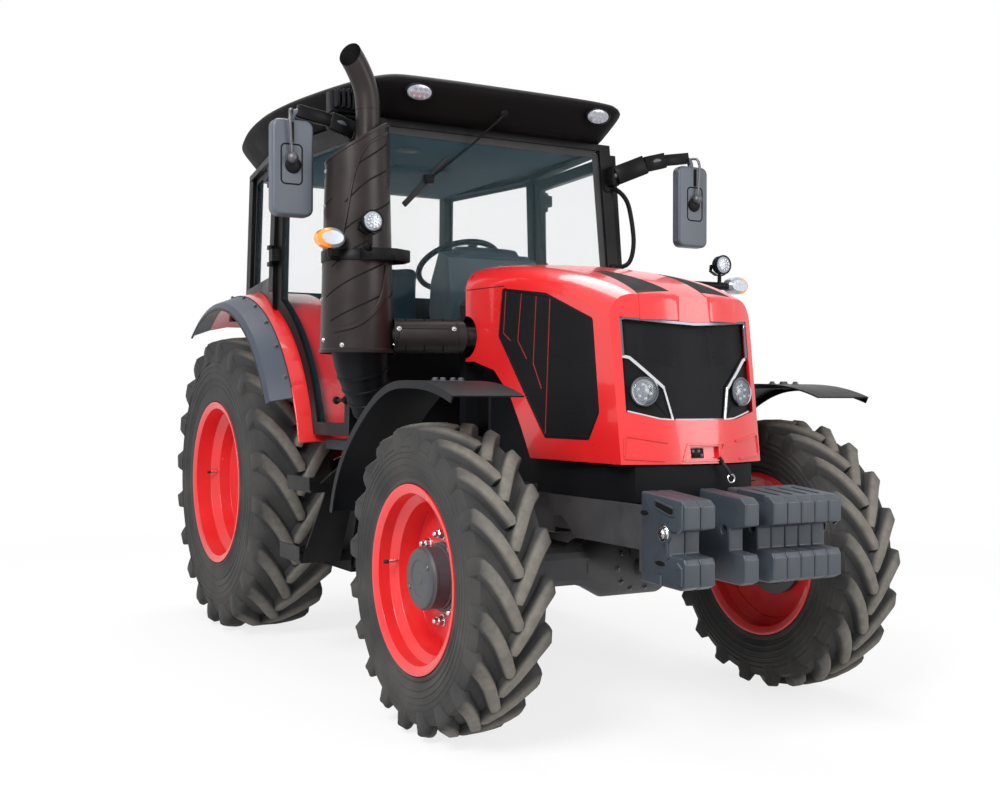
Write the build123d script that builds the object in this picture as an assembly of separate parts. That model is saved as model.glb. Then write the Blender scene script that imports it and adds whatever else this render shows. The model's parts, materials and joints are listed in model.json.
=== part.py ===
"""Farm tractor: four-wheel drive, cab, flip-up hood, front weights and a rear three-point hitch.

Built in millimetres with X forward from the rear axle, Y to the left and Z up from the ground.
The finished pieces are moved along X so that the origin lies under the middle of the machine.
"""

import math
import os

from build123d import *

# Wheels and stance
WHEELBASE = 2300
FRONT_TRACK = 1542
REAR_TRACK = 1430
FRONT_TYRE_D = 1086
FRONT_TYRE_W = 282
FRONT_RIM_D = 660
FRONT_RIM_W = 257
REAR_TYRE_D = 1476
REAR_TYRE_W = 420
REAR_RIM_D = 813
REAR_RIM_W = 400
RIM_WALL = 9
RIM_FLANGE = 25
BEAD_GAP = 0.4
LUGS = 20
LUG_HEIGHT = 38
LUG_SWEEP = 21
LUG_TOP = 2.0
LUG_ROOT = 3.3
LUG_FOOT = 0.60
LUG_NOSE = 0.04
FRONT_HUB_R = 108
FRONT_HUB_OUT = 95
FRONT_DISC_T = 14
REAR_DISC_T = 16
REAR_DISC_IN = 30
REAR_HUB_R = 150
REAR_STUB_R = 70
SPINDLE_R = 60
SPINDLE_FIT = 0.3
RUNNING_GAP = 6

# Front axle and steering
KINGPIN_Y = 600
KINGPIN_R = 45
BEAM_H = 120
BEAM_W = 130
EAR_Z = 87
EAR_T = 28
STEER_ARM = 160
ROD_R = 14
ROD_FIT = 0.05
ROD_Z = -60
BARREL_R = 34
BARREL_LENGTH = 420
BOWL_R = 118
NECK_R = 62
NECK_LENGTH = 330
BOX_INNER_Y = 330
PIVOT_PIN_R = 40
MUDGUARD_LIP = 22
MUDGUARD_ARC = ((61, 183), (79, 152), (90, 145), (99, 149), (127, 147), (152, 180), (166, 190))

# Hood and nose
HOOD_REAR_X = 1665
NOSE_AHEAD = 490
NOSE_LEAN = 0.13
HOOD_BOTTOM_Z = 945
HOOD_REAR_W = 352
HOOD_FRONT_W = 300
HOOD_WALL = 8
HOOD_CORNER_R = 95
HOOD_REAR_TOP = 1705
EXHAUST = (1500, -765)
ELBOW_END = (1706, -262)
ELBOW_Z = 1420
ELBOW_COVER_R = 72
PIPE_R = 45
PANEL_GAP = 6
CARRIER_UP = 272
HOOD_HINGE = (1692, 1662)
HOOD_PIN_R = 10
HOOD_LUG_Y = 200
COWL_X = (1590, 1640)
SCREEN_OUTLINE = (
    (0.261, 1600), (0.535, 1560), (0.792, 1452), (0.827, 1120), (0.774, 1022), (0.527, 1022), (0.235, 1410))
MOUTH_OUTLINE = ((0, 1094), (165, 1097), (280, 1124), (280, 1452), (0, 1436))
LAMP_OUTLINE = ((112, 1090), (290, 1090), (290, 1322), (262, 1318), (142, 1212))
VENT_OUTLINE = ((0.585, 120), (0.60, 172), (0.93, 215), (0.955, 75), (0.93, 62))
VENT_T = 4
GRILLE_IN = 22
GRILLE_T = 12
LAMP_IN = 8
LAMP_BODY_IN = 16
LAMP_R = 46
LAMP_AT = (215, 1195)
CHIN_HALF = 62
CHIN_Z = (962, 1004)
CHIN_DEPTH = 14

# Cab
FLOOR_Z = 985
FLOOR_T = 45
ROOF_Z = 2375
ROOF_H = 205
ROOF_CORNER = 60
A_PILLAR_X = 1300
A_PILLAR_TOP_X = 1255
A_PILLAR_Y = 660
A_PILLAR_TOP_Y = 590
B_PILLAR_X = 420
B_PILLAR_Y = 735
C_PILLAR_X = -390
C_PILLAR_Y = 590
PILLAR = 60
GLASS_T = 6
DOOR_T = 36
DOOR_GAP = 10
FIT = 0.4
DOOR_FRAME = 55
DOOR_HINGE = (455, 775)
HINGE_PIN_R = 6
HINGE_R = 10
HINGE_HEIGHTS = (1850, 2230)
DECK_Z = 1110
WINDOW_SILL = 40
WINDSCREEN_Z = 1420
DECK_REAR_X = -200
WALL_T = 60
WHEEL_TILT = 30
STEERING_HUB = (920, 0, 1800)

# Rear fenders
FENDER_R = 970
FENDER_T = 10
FENDER_DROP = 25
FENDER_INNER_Y = 462
FENDER_WALL_R = 380
FENDER_SEAM_Y = 800
FENDER_OUTER_Y = 912
FENDER_FRONT_DEG = 14
EXTENSION_FRONT_DEG = 27
FENDER_REAR_DEG = 122

# Front weights
WEIGHT_COUNT = 11
WEIGHT_PITCH = 60
WEIGHT_GAP = 0.6
WEIGHT_AHEAD = 562
WEIGHT_LENGTH = 238
WEIGHT_UP = 325
WEIGHT_ROUND = 8
WEIGHT_BOLT_R = 14

# Rear hitch
LINK_PIVOT = (20, 470)
LINK_END_X = -1020
LINK_TIP = 30
LINK_Y = 330
LIFT_PIVOT = (-225, 1030)
LIFT_ARM_END = (-500, 1105)
LIFT_ROD_FOOT = (-500, 490)
LIFT_PIN_R = 12
LINK_PIN_R = 14
LINK_EYE_R = 14.35
ROCKSHAFT_R = 40
PTO_R = 17.5
DRAWBAR_PIN_R = 16
TOP_EYE_R = 12.85

# Lamps
SIGNAL_HALF = (58, 40)
SIGNAL_DEPTH = 60
LEFT_SIGNAL = (1690, 1060, 1695)
RIGHT_SIGNAL = (1620, -929.6, 1795)
WORK_LAMP_R = 42
WORK_LAMP_DEPTH = 50

FRONT_R = FRONT_TYRE_D / 2
REAR_R = REAR_TYRE_D / 2
HOOD_FRONT_X = WHEELBASE + NOSE_AHEAD
HOOD_LENGTH = HOOD_FRONT_X - HOOD_REAR_X
CARRIER_TOP_Z = FRONT_R + CARRIER_UP
WEIGHT_REAR_X = WHEELBASE + WEIGHT_AHEAD
WEIGHT_FRONT_X = WEIGHT_REAR_X + WEIGHT_LENGTH
MIDDLE_X = (WEIGHT_FRONT_X + LINK_END_X - LINK_TIP) / 2
BELL_X = (WHEELBASE - 740, WHEELBASE - 540)
CARRIER_REAR_X = WHEELBASE - 260
HOUSING_FRONT_X = 300
BELT_Z = REAR_R + FENDER_R + 4


# Helpers

def block(x, y, z):
    """Box from low to high along each axis."""
    size = [pair[1] - pair[0] for pair in (x, y, z)]
    middle = [(pair[0] + pair[1]) / 2 for pair in (x, y, z)]
    return Pos(*middle) * Box(*size)


def outline(points, radius=0):
    """Closed flat face through 3-D points, its corners rounded where a radius is given."""
    if radius:
        return make_face(FilletPolyline(*points, radius=radius, close=True))
    return make_face(Polyline(*points, close=True))


def side_plate(points, y0, y1, radius=0):
    """Side-view outline of (x, z) points, extruded from y0 to y1."""
    face = outline([(x, y0, z) for x, z in points], radius)
    return extrude(face, amount=y1 - y0, dir=(0, 1, 0))


def plan_plate(points, z0, z1, radius=0):
    """Plan outline of (x, y) points, extruded from z0 to z1."""
    face = outline([(x, y, z0) for x, y in points], radius)
    return extrude(face, amount=z1 - z0, dir=(0, 0, 1))


def front_plate(points, x0, x1, radius=0):
    """Front-view outline of (y, z) points, extruded from x0 to x1."""
    face = outline([(x0, y, z) for y, z in points], radius)
    return extrude(face, amount=x1 - x0, dir=(1, 0, 0))


def bar(start, end, width, depth, x_dir=(1, 0, 0)):
    """Rectangular bar between two points: width along x_dir, depth across it."""
    a, b = Vector(*start), Vector(*end)
    plane = Plane(origin=(a + b) / 2, x_dir=x_dir, z_dir=b - a)
    return plane * Box(width, depth, (b - a).length)


def rod(start, end, radius):
    """Round bar between two points."""
    a, b = Vector(*start), Vector(*end)
    return Plane(origin=(a + b) / 2, z_dir=b - a) * Cylinder(radius, (b - a).length)


def cross_rod(at, y0, y1, radius):
    """Round bar across the machine through an (x, z) point."""
    return rod((at[0], y0, at[1]), (at[0], y1, at[1]), radius)


def pipe(points, radius, bend):
    """Round bar along straight runs joined by bends."""
    path = FilletPolyline(*points, radius=bend)
    section = Plane(origin=path @ 0, z_dir=path % 0) * Circle(radius)
    return sweep(section, path=path)


def turned(points):
    """Solid of revolution about Y from (radius, y) points."""
    return revolve(make_face(Polyline(*points, close=True)), Axis.Y, 360)


def both_sides(shape):
    """The left-hand piece with its mirror image on the right."""
    return [shape, mirror(shape, about=Plane.XZ)]


def right_hand(shape):
    return mirror(shape, about=Plane.XZ)


# Wheels, built on the left with the outboard side towards +Y

def lug_phase():
    """Turn that stands one lug's edge on the ground."""
    return 180 - 1.5 * 360 / LUGS / 4 - LUG_TOP + LUG_SWEEP * LUG_NOSE


def lug_rings(diameter, width, seat, side):
    """Rings of points from the tread's centre line over the lugs of one side and down to the lugs' feet."""
    tip, half = diameter / 2, width / 2
    floor, foot = tip - LUG_HEIGHT, seat + LUG_FOOT * (diameter / 2 - seat)
    column = 360 / LUGS / 4
    rows = [
        # share of the half width and radius, in the groove and on the lug's top
        ((0, floor), (0, floor)),
        ((0.10, floor), (LUG_NOSE, tip)),
        ((0.90, floor - 20), (0.97, tip - 12)),
        ((0.99, foot), (0.99, foot)),
    ]
    spread = (-LUG_ROOT, -LUG_TOP, LUG_TOP, LUG_ROOT)
    rings = []
    for row, (groove, top) in enumerate(rows):
        ring = []
        for k in range(4 * LUGS):
            shifted = k if side > 0 else k - 2
            role = shifted % 4
            share, radius = top if role in (1, 2) else groove
            middle = k - role + 1.5
            turn = k * column if row == 0 else middle * column + spread[role] - LUG_SWEEP * share
            angle = math.radians(turn + lug_phase())
            ring.append((radius * math.sin(angle), side * share * half, radius * math.cos(angle)))
        rings.append(ring)
    return rings


def bead_ring(radius, y):
    """Ring of half as many points where the tyre meets its rim, its flats outside the radius."""
    step = 2 * math.pi / (2 * LUGS)
    reach = radius / math.cos(step / 2)
    turns = [i * step + math.radians(lug_phase() - LUG_SWEEP) for i in range(2 * LUGS)]
    return [(reach * math.sin(a), y, reach * math.cos(a)) for a in turns]


def strip(first, second):
    """Triangles between two rings, the second with as many points as the first or half as many."""
    count, faces = len(first), []
    if len(second) == count:
        for i in range(count):
            j = (i + 1) % count
            faces += [(first[i], first[j], second[j]), (first[i], second[j], second[i])]
        return faces
    for i in range(0, count, 2):
        a, b, c = first[i], first[i + 1], first[(i + 2) % count]
        d, e = second[i // 2], second[(i // 2 + 1) % len(second)]
        faces += [(a, b, d), (b, c, e), (b, e, d)]
    return faces


def tyre(diameter, width, rim_d, rim_w):
    """Ring of flat facets: slanted lugs in two rows, staggered by half a pitch, on a plain carcass."""
    seat = rim_d / 2 - RIM_FLANGE + BEAD_GAP
    bead = rim_w / 2 - RIM_WALL - BEAD_GAP
    facets = []
    for side in (1, -1):
        rings = lug_rings(diameter, width, seat, side)
        rings.append(bead_ring(seat + RIM_FLANGE, side * bead))
        rings.append(bead_ring(seat, side * (bead - 6)))
        for first, second in zip(rings, rings[1:]):
            facets += strip(first, second)
    facets += strip(bead_ring(seat, bead - 6), bead_ring(seat, 6 - bead))
    return Solid(Shell([Face(Wire.make_polygon(facet, close=True)) for facet in facets]))


def rim_barrel(rim_d, rim_w, well):
    """Flanged rim with a drop centre, one wall thick."""
    flange = rim_d / 2
    seat = flange - RIM_FLANGE
    half = rim_w / 2
    outer = [(flange, half), (flange, half - RIM_WALL), (seat, half - RIM_WALL - 5),
             (seat, half * 0.60), (seat - well, half * 0.42)]
    inner = [(seat - well - RIM_WALL, half * 0.38), (seat - RIM_WALL, half * 0.56),
             (seat - RIM_WALL, half - RIM_WALL - 2), (flange - RIM_WALL, half)]
    mirrored_outer = [(r, -y) for r, y in reversed(outer)]
    mirrored_inner = [(r, -y) for r, y in reversed(inner)]
    return turned(outer + mirrored_outer + mirrored_inner + inner)


def front_rim():
    well = 30
    barrel = rim_barrel(FRONT_RIM_D, FRONT_RIM_W, well)
    root = FRONT_RIM_D / 2 - RIM_FLANGE - well - RIM_WALL / 2
    hole = FRONT_HUB_R + 2
    disc = turned([
        (hole, 0), (205, 0), (root, -30), (root, -30 - FRONT_DISC_T),
        (205, -FRONT_DISC_T), (hole, -FRONT_DISC_T),
    ])
    return barrel + disc


def front_hub():
    """Planetary hub: cap, drum through the disc, the flange behind it and the spindle's bore."""
    face = -FRONT_DISC_T - BEAD_GAP
    inner = KINGPIN_Y + 96 - FRONT_TRACK / 2
    bore = SPINDLE_R + SPINDLE_FIT
    return turned([
        (0, FRONT_HUB_OUT), (FRONT_HUB_R - 12, FRONT_HUB_OUT), (FRONT_HUB_R, FRONT_HUB_OUT - 10),
        (FRONT_HUB_R, face), (170, face), (170, face - 22), (118, face - 30), (118, inner),
        (bore, inner), (bore, face), (0, face),
    ])


def rear_rim():
    """Rear rim with its dished disc and the axle flange bolted behind it."""
    well = 36
    barrel = rim_barrel(REAR_RIM_D, REAR_RIM_W, well)
    root = REAR_RIM_D / 2 - RIM_FLANGE - well - RIM_WALL / 2
    bore = REAR_STUB_R + SPINDLE_FIT
    disc = turned([
        (bore, -REAR_DISC_IN), (230, -REAR_DISC_IN), (root, 20), (root, 20 - REAR_DISC_T),
        (230, -REAR_DISC_IN - REAR_DISC_T), (REAR_HUB_R, -REAR_DISC_IN - REAR_DISC_T),
        (REAR_HUB_R, -REAR_DISC_IN - REAR_DISC_T - 30), (bore, -REAR_DISC_IN - REAR_DISC_T - 30),
    ])
    return barrel + disc


def at_front_wheel(shape):
    return Pos(WHEELBASE, FRONT_TRACK / 2, FRONT_R) * shape


def at_rear_wheel(shape):
    return Pos(0, REAR_TRACK / 2, REAR_R) * shape


# Front axle and steering

def front_axle():
    """Beam with its differential, a trunnion at each end and the steering cylinder behind it."""
    z = FRONT_R
    beam = block((WHEELBASE - BEAM_W / 2, WHEELBASE + BEAM_W / 2),
                 (-KINGPIN_Y, KINGPIN_Y), (z - BEAM_H / 2, z + BEAM_H / 2))
    beam = chamfer(beam.edges().filter_by(Axis.Y), 22)
    trunnion = Pos(WHEELBASE, KINGPIN_Y, z) * Cylinder(KINGPIN_R, 2 * EAR_Z)
    bowl = Pos(WHEELBASE, 0, z) * turned([
        (0, -210), (70, -210), (BOWL_R, -120), (BOWL_R, 120), (70, 210), (0, 210)])
    barrel_x = WHEELBASE - STEER_ARM
    axis_z = z + ROD_Z
    neck = rod((WHEELBASE - NECK_LENGTH, 0, z), (WHEELBASE, 0, z), NECK_R)
    neck -= block((0, WHEELBASE), (-400, 400), (0, axis_z + BARREL_R + 4))
    pin = rod((WHEELBASE, 0, z), (WHEELBASE + BOWL_R + 85, 0, z), PIVOT_PIN_R)
    barrel = rod((barrel_x, -BARREL_LENGTH / 2, axis_z), (barrel_x, BARREL_LENGTH / 2, axis_z), BARREL_R)
    shape = beam + trunnion + right_hand(trunnion) + bowl + neck + pin
    for y in (-170, 170):
        shape += block((barrel_x, WHEELBASE), (y - 12, y + 12), (axis_z - 20, axis_z + 20))
    shape += barrel
    bore = rod((barrel_x, -BARREL_LENGTH, axis_z), (barrel_x, BARREL_LENGTH, axis_z), ROD_R + ROD_FIT)
    return shape - bore


def steering_rod():
    """Through rod of the steering cylinder with a joint boss over each steering arm."""
    x, z = WHEELBASE - STEER_ARM, FRONT_R + ROD_Z
    end = KINGPIN_Y - 18
    shape = rod((x, -end, z), (x, end, z), ROD_R)
    for y in (-end, end):
        shape += Pos(x, y, z) * Cylinder(26, 44)
    return shape


def knuckle():
    """Steering knuckle: two ears on the kingpin, the wheel's spindle and the arm to the steering rod."""
    z = FRONT_R
    low_ear = z - EAR_Z - EAR_T - FIT
    shape = rod((WHEELBASE, KINGPIN_Y + 60, z), (WHEELBASE, KINGPIN_Y + 90, z), 118)
    shape += rod((WHEELBASE, KINGPIN_Y + 60, z), (WHEELBASE, KINGPIN_Y + 140, z), SPINDLE_R)
    for low in (z + EAR_Z + FIT, low_ear):
        shape += plan_plate([(WHEELBASE - 62, KINGPIN_Y - 55), (WHEELBASE + 62, KINGPIN_Y - 55),
                             (WHEELBASE + 105, KINGPIN_Y + 90), (WHEELBASE - 105, KINGPIN_Y + 90)],
                            low, low + EAR_T, 20)
    arm_x = WHEELBASE - STEER_ARM - 28
    shape += plan_plate([(WHEELBASE - 30, KINGPIN_Y - 40), (WHEELBASE - 30, KINGPIN_Y + 40),
                         (arm_x, KINGPIN_Y + 8), (arm_x, KINGPIN_Y - 46)],
                        low_ear, low_ear + EAR_T, 12)
    return shape


def mudguard_line(inset):
    """Side-view line of the mudguard over the tyre, drawn in by inset."""
    line = []
    for degrees, clearance in MUDGUARD_ARC:
        angle, radius = math.radians(degrees), FRONT_R + clearance - inset
        line.append((WHEELBASE + radius * math.cos(angle), FRONT_R + radius * math.sin(angle)))
    return line


def front_fender():
    """Narrow mudguard over the tyre on a post from the knuckle."""
    inner_y, outer_y, wall = 650, 918, 6
    top_line, under = mudguard_line(0), mudguard_line(wall)
    curves = [Spline(*[(x, inner_y, z) for x, z in line]) for line in (top_line, under)]
    ends = [Line(curves[0] @ share, curves[1] @ share) for share in (0, 1)]
    shape = extrude(make_face([*curves, *ends]), amount=outer_y - inner_y, dir=(0, 1, 0))
    rib = mudguard_line(wall + MUDGUARD_LIP)
    low = Spline(*[(x, outer_y - wall, z) for x, z in rib])
    high = Spline(*[(x, outer_y - wall, z) for x, z in top_line])
    lip = make_face([high, low, Line(high @ 0, low @ 0), Line(high @ 1, low @ 1)])
    shape += extrude(lip, amount=wall, dir=(0, 1, 0))
    post_x, foot = WHEELBASE - 20, FRONT_R + EAR_Z + EAR_T + FIT
    post_y, top = KINGPIN_Y - 8, 2 * FRONT_R + MUDGUARD_ARC[2][1] - 4
    shape += block((post_x - 40, post_x + 40), (post_y, post_y + 12), (foot, top))
    shape += block((post_x - 40, post_x + 40), (post_y, outer_y - 60), (top - 16, top))
    return shape


# Hood

def hood_section(x, half, top, bottom):
    """Front-view section with rounded shoulders and a slight crown."""
    crown, corner = 14, HOOD_CORNER_R
    edge = Polyline((x, half, top - corner), (x, half, bottom), (x, -half, bottom), (x, -half, top - corner))
    s = math.sqrt(0.5)
    left = ThreePointArc((x, half, top - corner), (x, half - corner * (1 - s), top - corner * (1 - s)),
                         (x, half - corner, top))
    roof = ThreePointArc((x, half - corner, top), (x, 0, top + crown), (x, -half + corner, top))
    right = ThreePointArc((x, -half + corner, top), (x, -half + corner * (1 - s), top - corner * (1 - s)),
                          (x, -half, top - corner))
    return make_face([*edge.edges(), left, roof, right])


def nose_plan(front, z):
    """Plan of everything behind the nose's curve at one height."""
    reach, drop = 420, 145
    return make_face([
        *Polyline((front - drop, -reach, z), (0, -reach, z), (0, reach, z), (front - drop, reach, z)).edges(),
        ThreePointArc((front - drop, reach, z), (front, 0, z), (front - drop, -reach, z)),
    ])


def hood_form(inset, bottom):
    """The hood's outer form drawn in by inset, down to bottom."""
    stations = [
        (HOOD_REAR_X, HOOD_REAR_W, HOOD_REAR_TOP),
        (HOOD_REAR_X + 0.30 * HOOD_LENGTH, 345, 1688),
        (HOOD_REAR_X + 0.56 * HOOD_LENGTH, 332, 1645),
        (HOOD_REAR_X + 0.79 * HOOD_LENGTH, 318, 1580),
        (HOOD_FRONT_X + 10, HOOD_FRONT_W, 1462),
    ]
    sections = [hood_section(x, half - inset, top - inset, bottom) for x, half, top in stations]
    front = HOOD_FRONT_X - inset
    heights = (HOOD_BOTTOM_Z - 345, HOOD_REAR_TOP + 95)
    plans = [nose_plan(front - NOSE_LEAN * (z - HOOD_BOTTOM_Z), z) for z in heights]
    return loft(sections) & loft(plans, ruled=True)


def hood_skin(outer, inner):
    """Layer of the hood's form between two insets."""
    return hood_form(outer, HOOD_BOTTOM_Z) - hood_form(inner, HOOD_BOTTOM_Z - 200)


def hood_arch():
    """Side-view cut over the front wheel and the notch for the exhaust elbow."""
    behind = [(-560, 1318), (-400, 1280), (-280, 1180), (-200, 1060), (-135, HOOD_BOTTOM_Z), (-135, 700)]
    arch = [(0, 1322)] + [(WHEELBASE + x, z) for x, z in behind] + [(0, 700)]
    return side_plate(arch, -500, 500)


def elbow_run(radius):
    """Straight run of the exhaust from the engine's side to the stack."""
    return rod((EXHAUST[0], EXHAUST[1], ELBOW_Z), (ELBOW_END[0], ELBOW_END[1], ELBOW_Z), radius)


def mouth(grow):
    """Prism through the nose where the grille sits, grown by grow."""
    half = [(y + grow if y else 0, z + (grow if z > 1300 else -grow)) for y, z in MOUTH_OUTLINE]
    points = half + [(-y, z) for y, z in half[-2:0:-1]]
    return front_plate(points, HOOD_FRONT_X - 260, HOOD_FRONT_X + 100)


def lamp_area(shrink):
    """Prism of the left lamp's housing in the grille's lower corner."""
    points = [(y + (shrink if y < 200 else 0), z - (shrink if z > 1100 else 0)) for y, z in LAMP_OUTLINE]
    return front_plate(points, HOOD_FRONT_X - 260, HOOD_FRONT_X + 100)


def screen_area():
    """Prism through both sides of the hood where the screens sit."""
    points = [(HOOD_REAR_X + share * HOOD_LENGTH, z) for share, z in SCREEN_OUTLINE]
    return side_plate(points, -500, 500, 18)


def vent_area():
    """Upright prism over the left one of the two tapered inlays on top of the hood."""
    points = [(HOOD_REAR_X + share * HOOD_LENGTH, y) for share, y in VENT_OUTLINE]
    return plan_plate(points, HOOD_BOTTOM_Z + 300, HOOD_REAR_TOP + 50)


def chin_pocket(grow):
    """Block of the square pocket low on the nose, grown by grow."""
    half = CHIN_HALF + grow
    return block((HOOD_FRONT_X - 90, HOOD_FRONT_X + 20), (-half, half), (CHIN_Z[0] - grow, CHIN_Z[1] + grow))


def hood():
    """Shell with its wheel-arch cut, side and front openings, the exhaust's notch and two hinge lugs."""
    x, z = HOOD_HINGE
    shell = hood_skin(0, HOOD_WALL) - hood_arch() - screen_area()
    shell += hood_skin(0, GRILLE_IN + GRILLE_T) & mouth(HOOD_WALL)
    shell -= mouth(0)
    shell -= elbow_run(ELBOW_COVER_R + 14)
    vent = vent_area() & hood_skin(0, VENT_T)
    shell = shell - vent - right_hand(vent) - chin_pocket(0)
    shell += (hood_skin(HOOD_WALL, CHIN_DEPTH + HOOD_WALL) & chin_pocket(HOOD_WALL)) - chin_pocket(0)
    shell += hood_skin(CHIN_DEPTH, CHIN_DEPTH + HOOD_WALL) & chin_pocket(0)
    for side in (1, -1):
        y = side * (HOOD_LUG_Y + 9)
        shell += block((x - 20, x + 20), (y - 8, y + 8), (z - 18, HOOD_REAR_TOP))
    return shell - rod((x, -400, z), (x, 400, z), HOOD_PIN_R + ROD_FIT)


def hood_screens():
    """Black perforated side panels, the top vents and the grille, set in the hood's openings."""
    window = screen_area()
    shrunk = window & Pos(FIT, 0, 0) * window & Pos(-FIT, 0, FIT) * window & Pos(0, 0, -FIT) * window
    sides = hood_skin(3, HOOD_WALL) & shrunk
    grille = hood_skin(GRILLE_IN, GRILLE_IN + GRILLE_T) & mouth(-FIT)
    grille = grille - lamp_area(0) - right_hand(lamp_area(0))
    area = vent_area()
    area = area & Pos(FIT, 0, 0) * area & Pos(-FIT, FIT, 0) * area & Pos(0, -FIT, 0) * area
    vent = area & hood_skin(0, VENT_T - FIT)
    return [*sides.solids(), *grille.solids(), *vent.solids(), *right_hand(vent).solids()]


def headlamp():
    """Left lamp: a housing that follows the nose, with its round lens."""
    depth = GRILLE_IN + GRILLE_T
    housing = hood_skin(LAMP_BODY_IN, depth) & lamp_area(FIT) & mouth(-FIT)
    lens = Pos(HOOD_FRONT_X - 80, *LAMP_AT) * Rot(0, 90, 0) * Cylinder(LAMP_R, 160)
    return housing + (lens & hood_skin(LAMP_IN, depth))


def headlamps():
    return both_sides(headlamp())


# Chassis

def front_frame():
    """Axle carrier casting with the weight carrier's side plates and front plate."""
    plate_x = WEIGHT_REAR_X - 22
    keel = FRONT_R + BOWL_R + 4
    low, step = CARRIER_TOP_Z - 147, CARRIER_TOP_Z - 75
    side = side_plate([(WHEELBASE - 60, CARRIER_TOP_Z), (plate_x, CARRIER_TOP_Z), (plate_x, low),
                       (WHEELBASE + 120, low), (WHEELBASE + 30, step), (WHEELBASE - 60, step)], 280, 300)
    shape = side + right_hand(side)
    plate_half = WEIGHT_COUNT * WEIGHT_PITCH / 2 - 10
    shape += block((plate_x, WEIGHT_REAR_X - FIT), (-plate_half, plate_half),
                   (CARRIER_TOP_Z - 215, CARRIER_TOP_Z))
    shape += block((CARRIER_REAR_X, plate_x), (-150, 150), (keel, CARRIER_TOP_Z - 15))
    shape += block((WHEELBASE + 140, WHEELBASE + 180), (-300, 300), (CARRIER_TOP_Z - 125, CARRIER_TOP_Z - 25))
    for x, radius in ((WHEELBASE - BOWL_R - 39, NECK_R), (WHEELBASE + BOWL_R + 39, PIVOT_PIN_R)):
        shape += block((x - 33, x + 33), (-60, 60), (FRONT_R + radius + FIT, CARRIER_TOP_Z - 75))
    return shape


def engine():
    deck = CARRIER_TOP_Z - 15 + FIT
    upper = block((BELL_X[1], WHEELBASE + 150), (-205, 205), (deck, 1330))
    return upper + block((BELL_X[1], CARRIER_REAR_X - FIT), (-150, 150), (FRONT_R + NECK_R + 35, deck + 1))


def transmission():
    """Bell housing, gearbox, the front drive shaft's guard and the bearers of the side boxes."""
    shape = block((BELL_X[0], BELL_X[1] - FIT), (-195, 195), (FRONT_R + 17, 1000))
    shape += block((HOUSING_FRONT_X + FIT, BELL_X[0]), (-170, 170), (430, FLOOR_Z - FLOOR_T - FIT))
    shape += rod((BELL_X[0] - 60, 0, FRONT_R), (WHEELBASE - NECK_LENGTH - FIT, 0, FRONT_R), 35)
    for x in (BELL_X[0] - 410, BELL_X[0] - 80):
        shape += block((x, x + 60), (-BOX_INNER_Y + FIT, BOX_INNER_Y - FIT), (560, 620))
    return shape


def rear_axle():
    """Centre housing, axle tubes with their stubs, hitch pins and the power take-off stub."""
    shape = block((-300, HOUSING_FRONT_X), (-240, 240), (430, 980))
    tube_end = REAR_TRACK / 2 - REAR_DISC_IN - REAR_DISC_T - 30 - RUNNING_GAP
    stub_end = REAR_TRACK / 2 - REAR_DISC_IN - 4
    shape += rod((0, -tube_end, REAR_R), (0, tube_end, REAR_R), 118)
    shape += rod((0, -stub_end, REAR_R), (0, stub_end, REAR_R), REAR_STUB_R)
    shape += rod((-390, 0, 600), (-290, 0, 600), PTO_R)
    shape += cross_rod(LINK_PIVOT, -LINK_Y - 20, LINK_Y + 20, LINK_PIN_R)
    x, z = LIFT_PIVOT
    for y in (-200, 200):
        shape += side_plate([(-150, 970), (x - 60, 970), (x - 60, z + 70), (x + 40, z + 70)], y - 20, y + 20)
    return shape - cross_rod(LIFT_PIVOT, -300, 300, ROCKSHAFT_R + SPINDLE_FIT)


def hood_pin():
    """Hinge ear and pin on the cowl, on the left."""
    x, z = HOOD_HINGE
    back = COWL_X[1]
    ear = side_plate([(back, z - 80), (back, z - 34), (x - 14, z + 16), (x + 16, z + 16), (x + 16, z - 18)],
                     HOOD_LUG_Y - 22, HOOD_LUG_Y - 6)
    return ear + rod((x, HOOD_LUG_Y - 22, z), (x, HOOD_LUG_Y + 24, z), HOOD_PIN_R)


def skirt_line(inset):
    """Plan outline of the nose skirt drawn in by inset."""
    front = HOOD_FRONT_X - 22 - inset
    half = [(WHEELBASE - 150 - inset, 298 - inset), (WHEELBASE + 300, 288 - inset),
            (front - 40, 255 - inset), (front, 150)]
    return half + [(x, -y) for x, y in reversed(half)]


def lower_panels():
    """Fixed black panels: the cowl behind the hood, the wheel-arch liners and the nose skirt."""
    side, low, top, slant = 340, 1000 + FIT, HOOD_HINGE[1] - 14, 90
    cowl = front_plate([(-side, low), (side, low), (side, top - slant), (side - slant, top),
                        (slant - side, top), (-side, top - slant)], *COWL_X, 30)
    cowl -= elbow_run(ELBOW_COVER_R + 14)
    cowl += hood_pin() + right_hand(hood_pin())
    behind = [(-540, 1300), (-400, 1255), (-290, 1160), (-210, 1040), (-160, 940), (-160, 840),
              (-400, 840), (-660, 1010)]
    liner = side_plate([(0, 1300)] + [(WHEELBASE + x, z) for x, z in behind] + [(0, 1010)], 245, 252)
    liner -= block((-10, COWL_X[1] + FIT), (0, 400), (700, 1500))
    skirt = plan_plate(skirt_line(0), CARRIER_TOP_Z + FIT, HOOD_BOTTOM_Z - PANEL_GAP)
    skirt -= plan_plate(skirt_line(HOOD_WALL), CARRIER_TOP_Z, HOOD_BOTTOM_Z)
    return [cowl, *both_sides(liner), *skirt.solids()]


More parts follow.
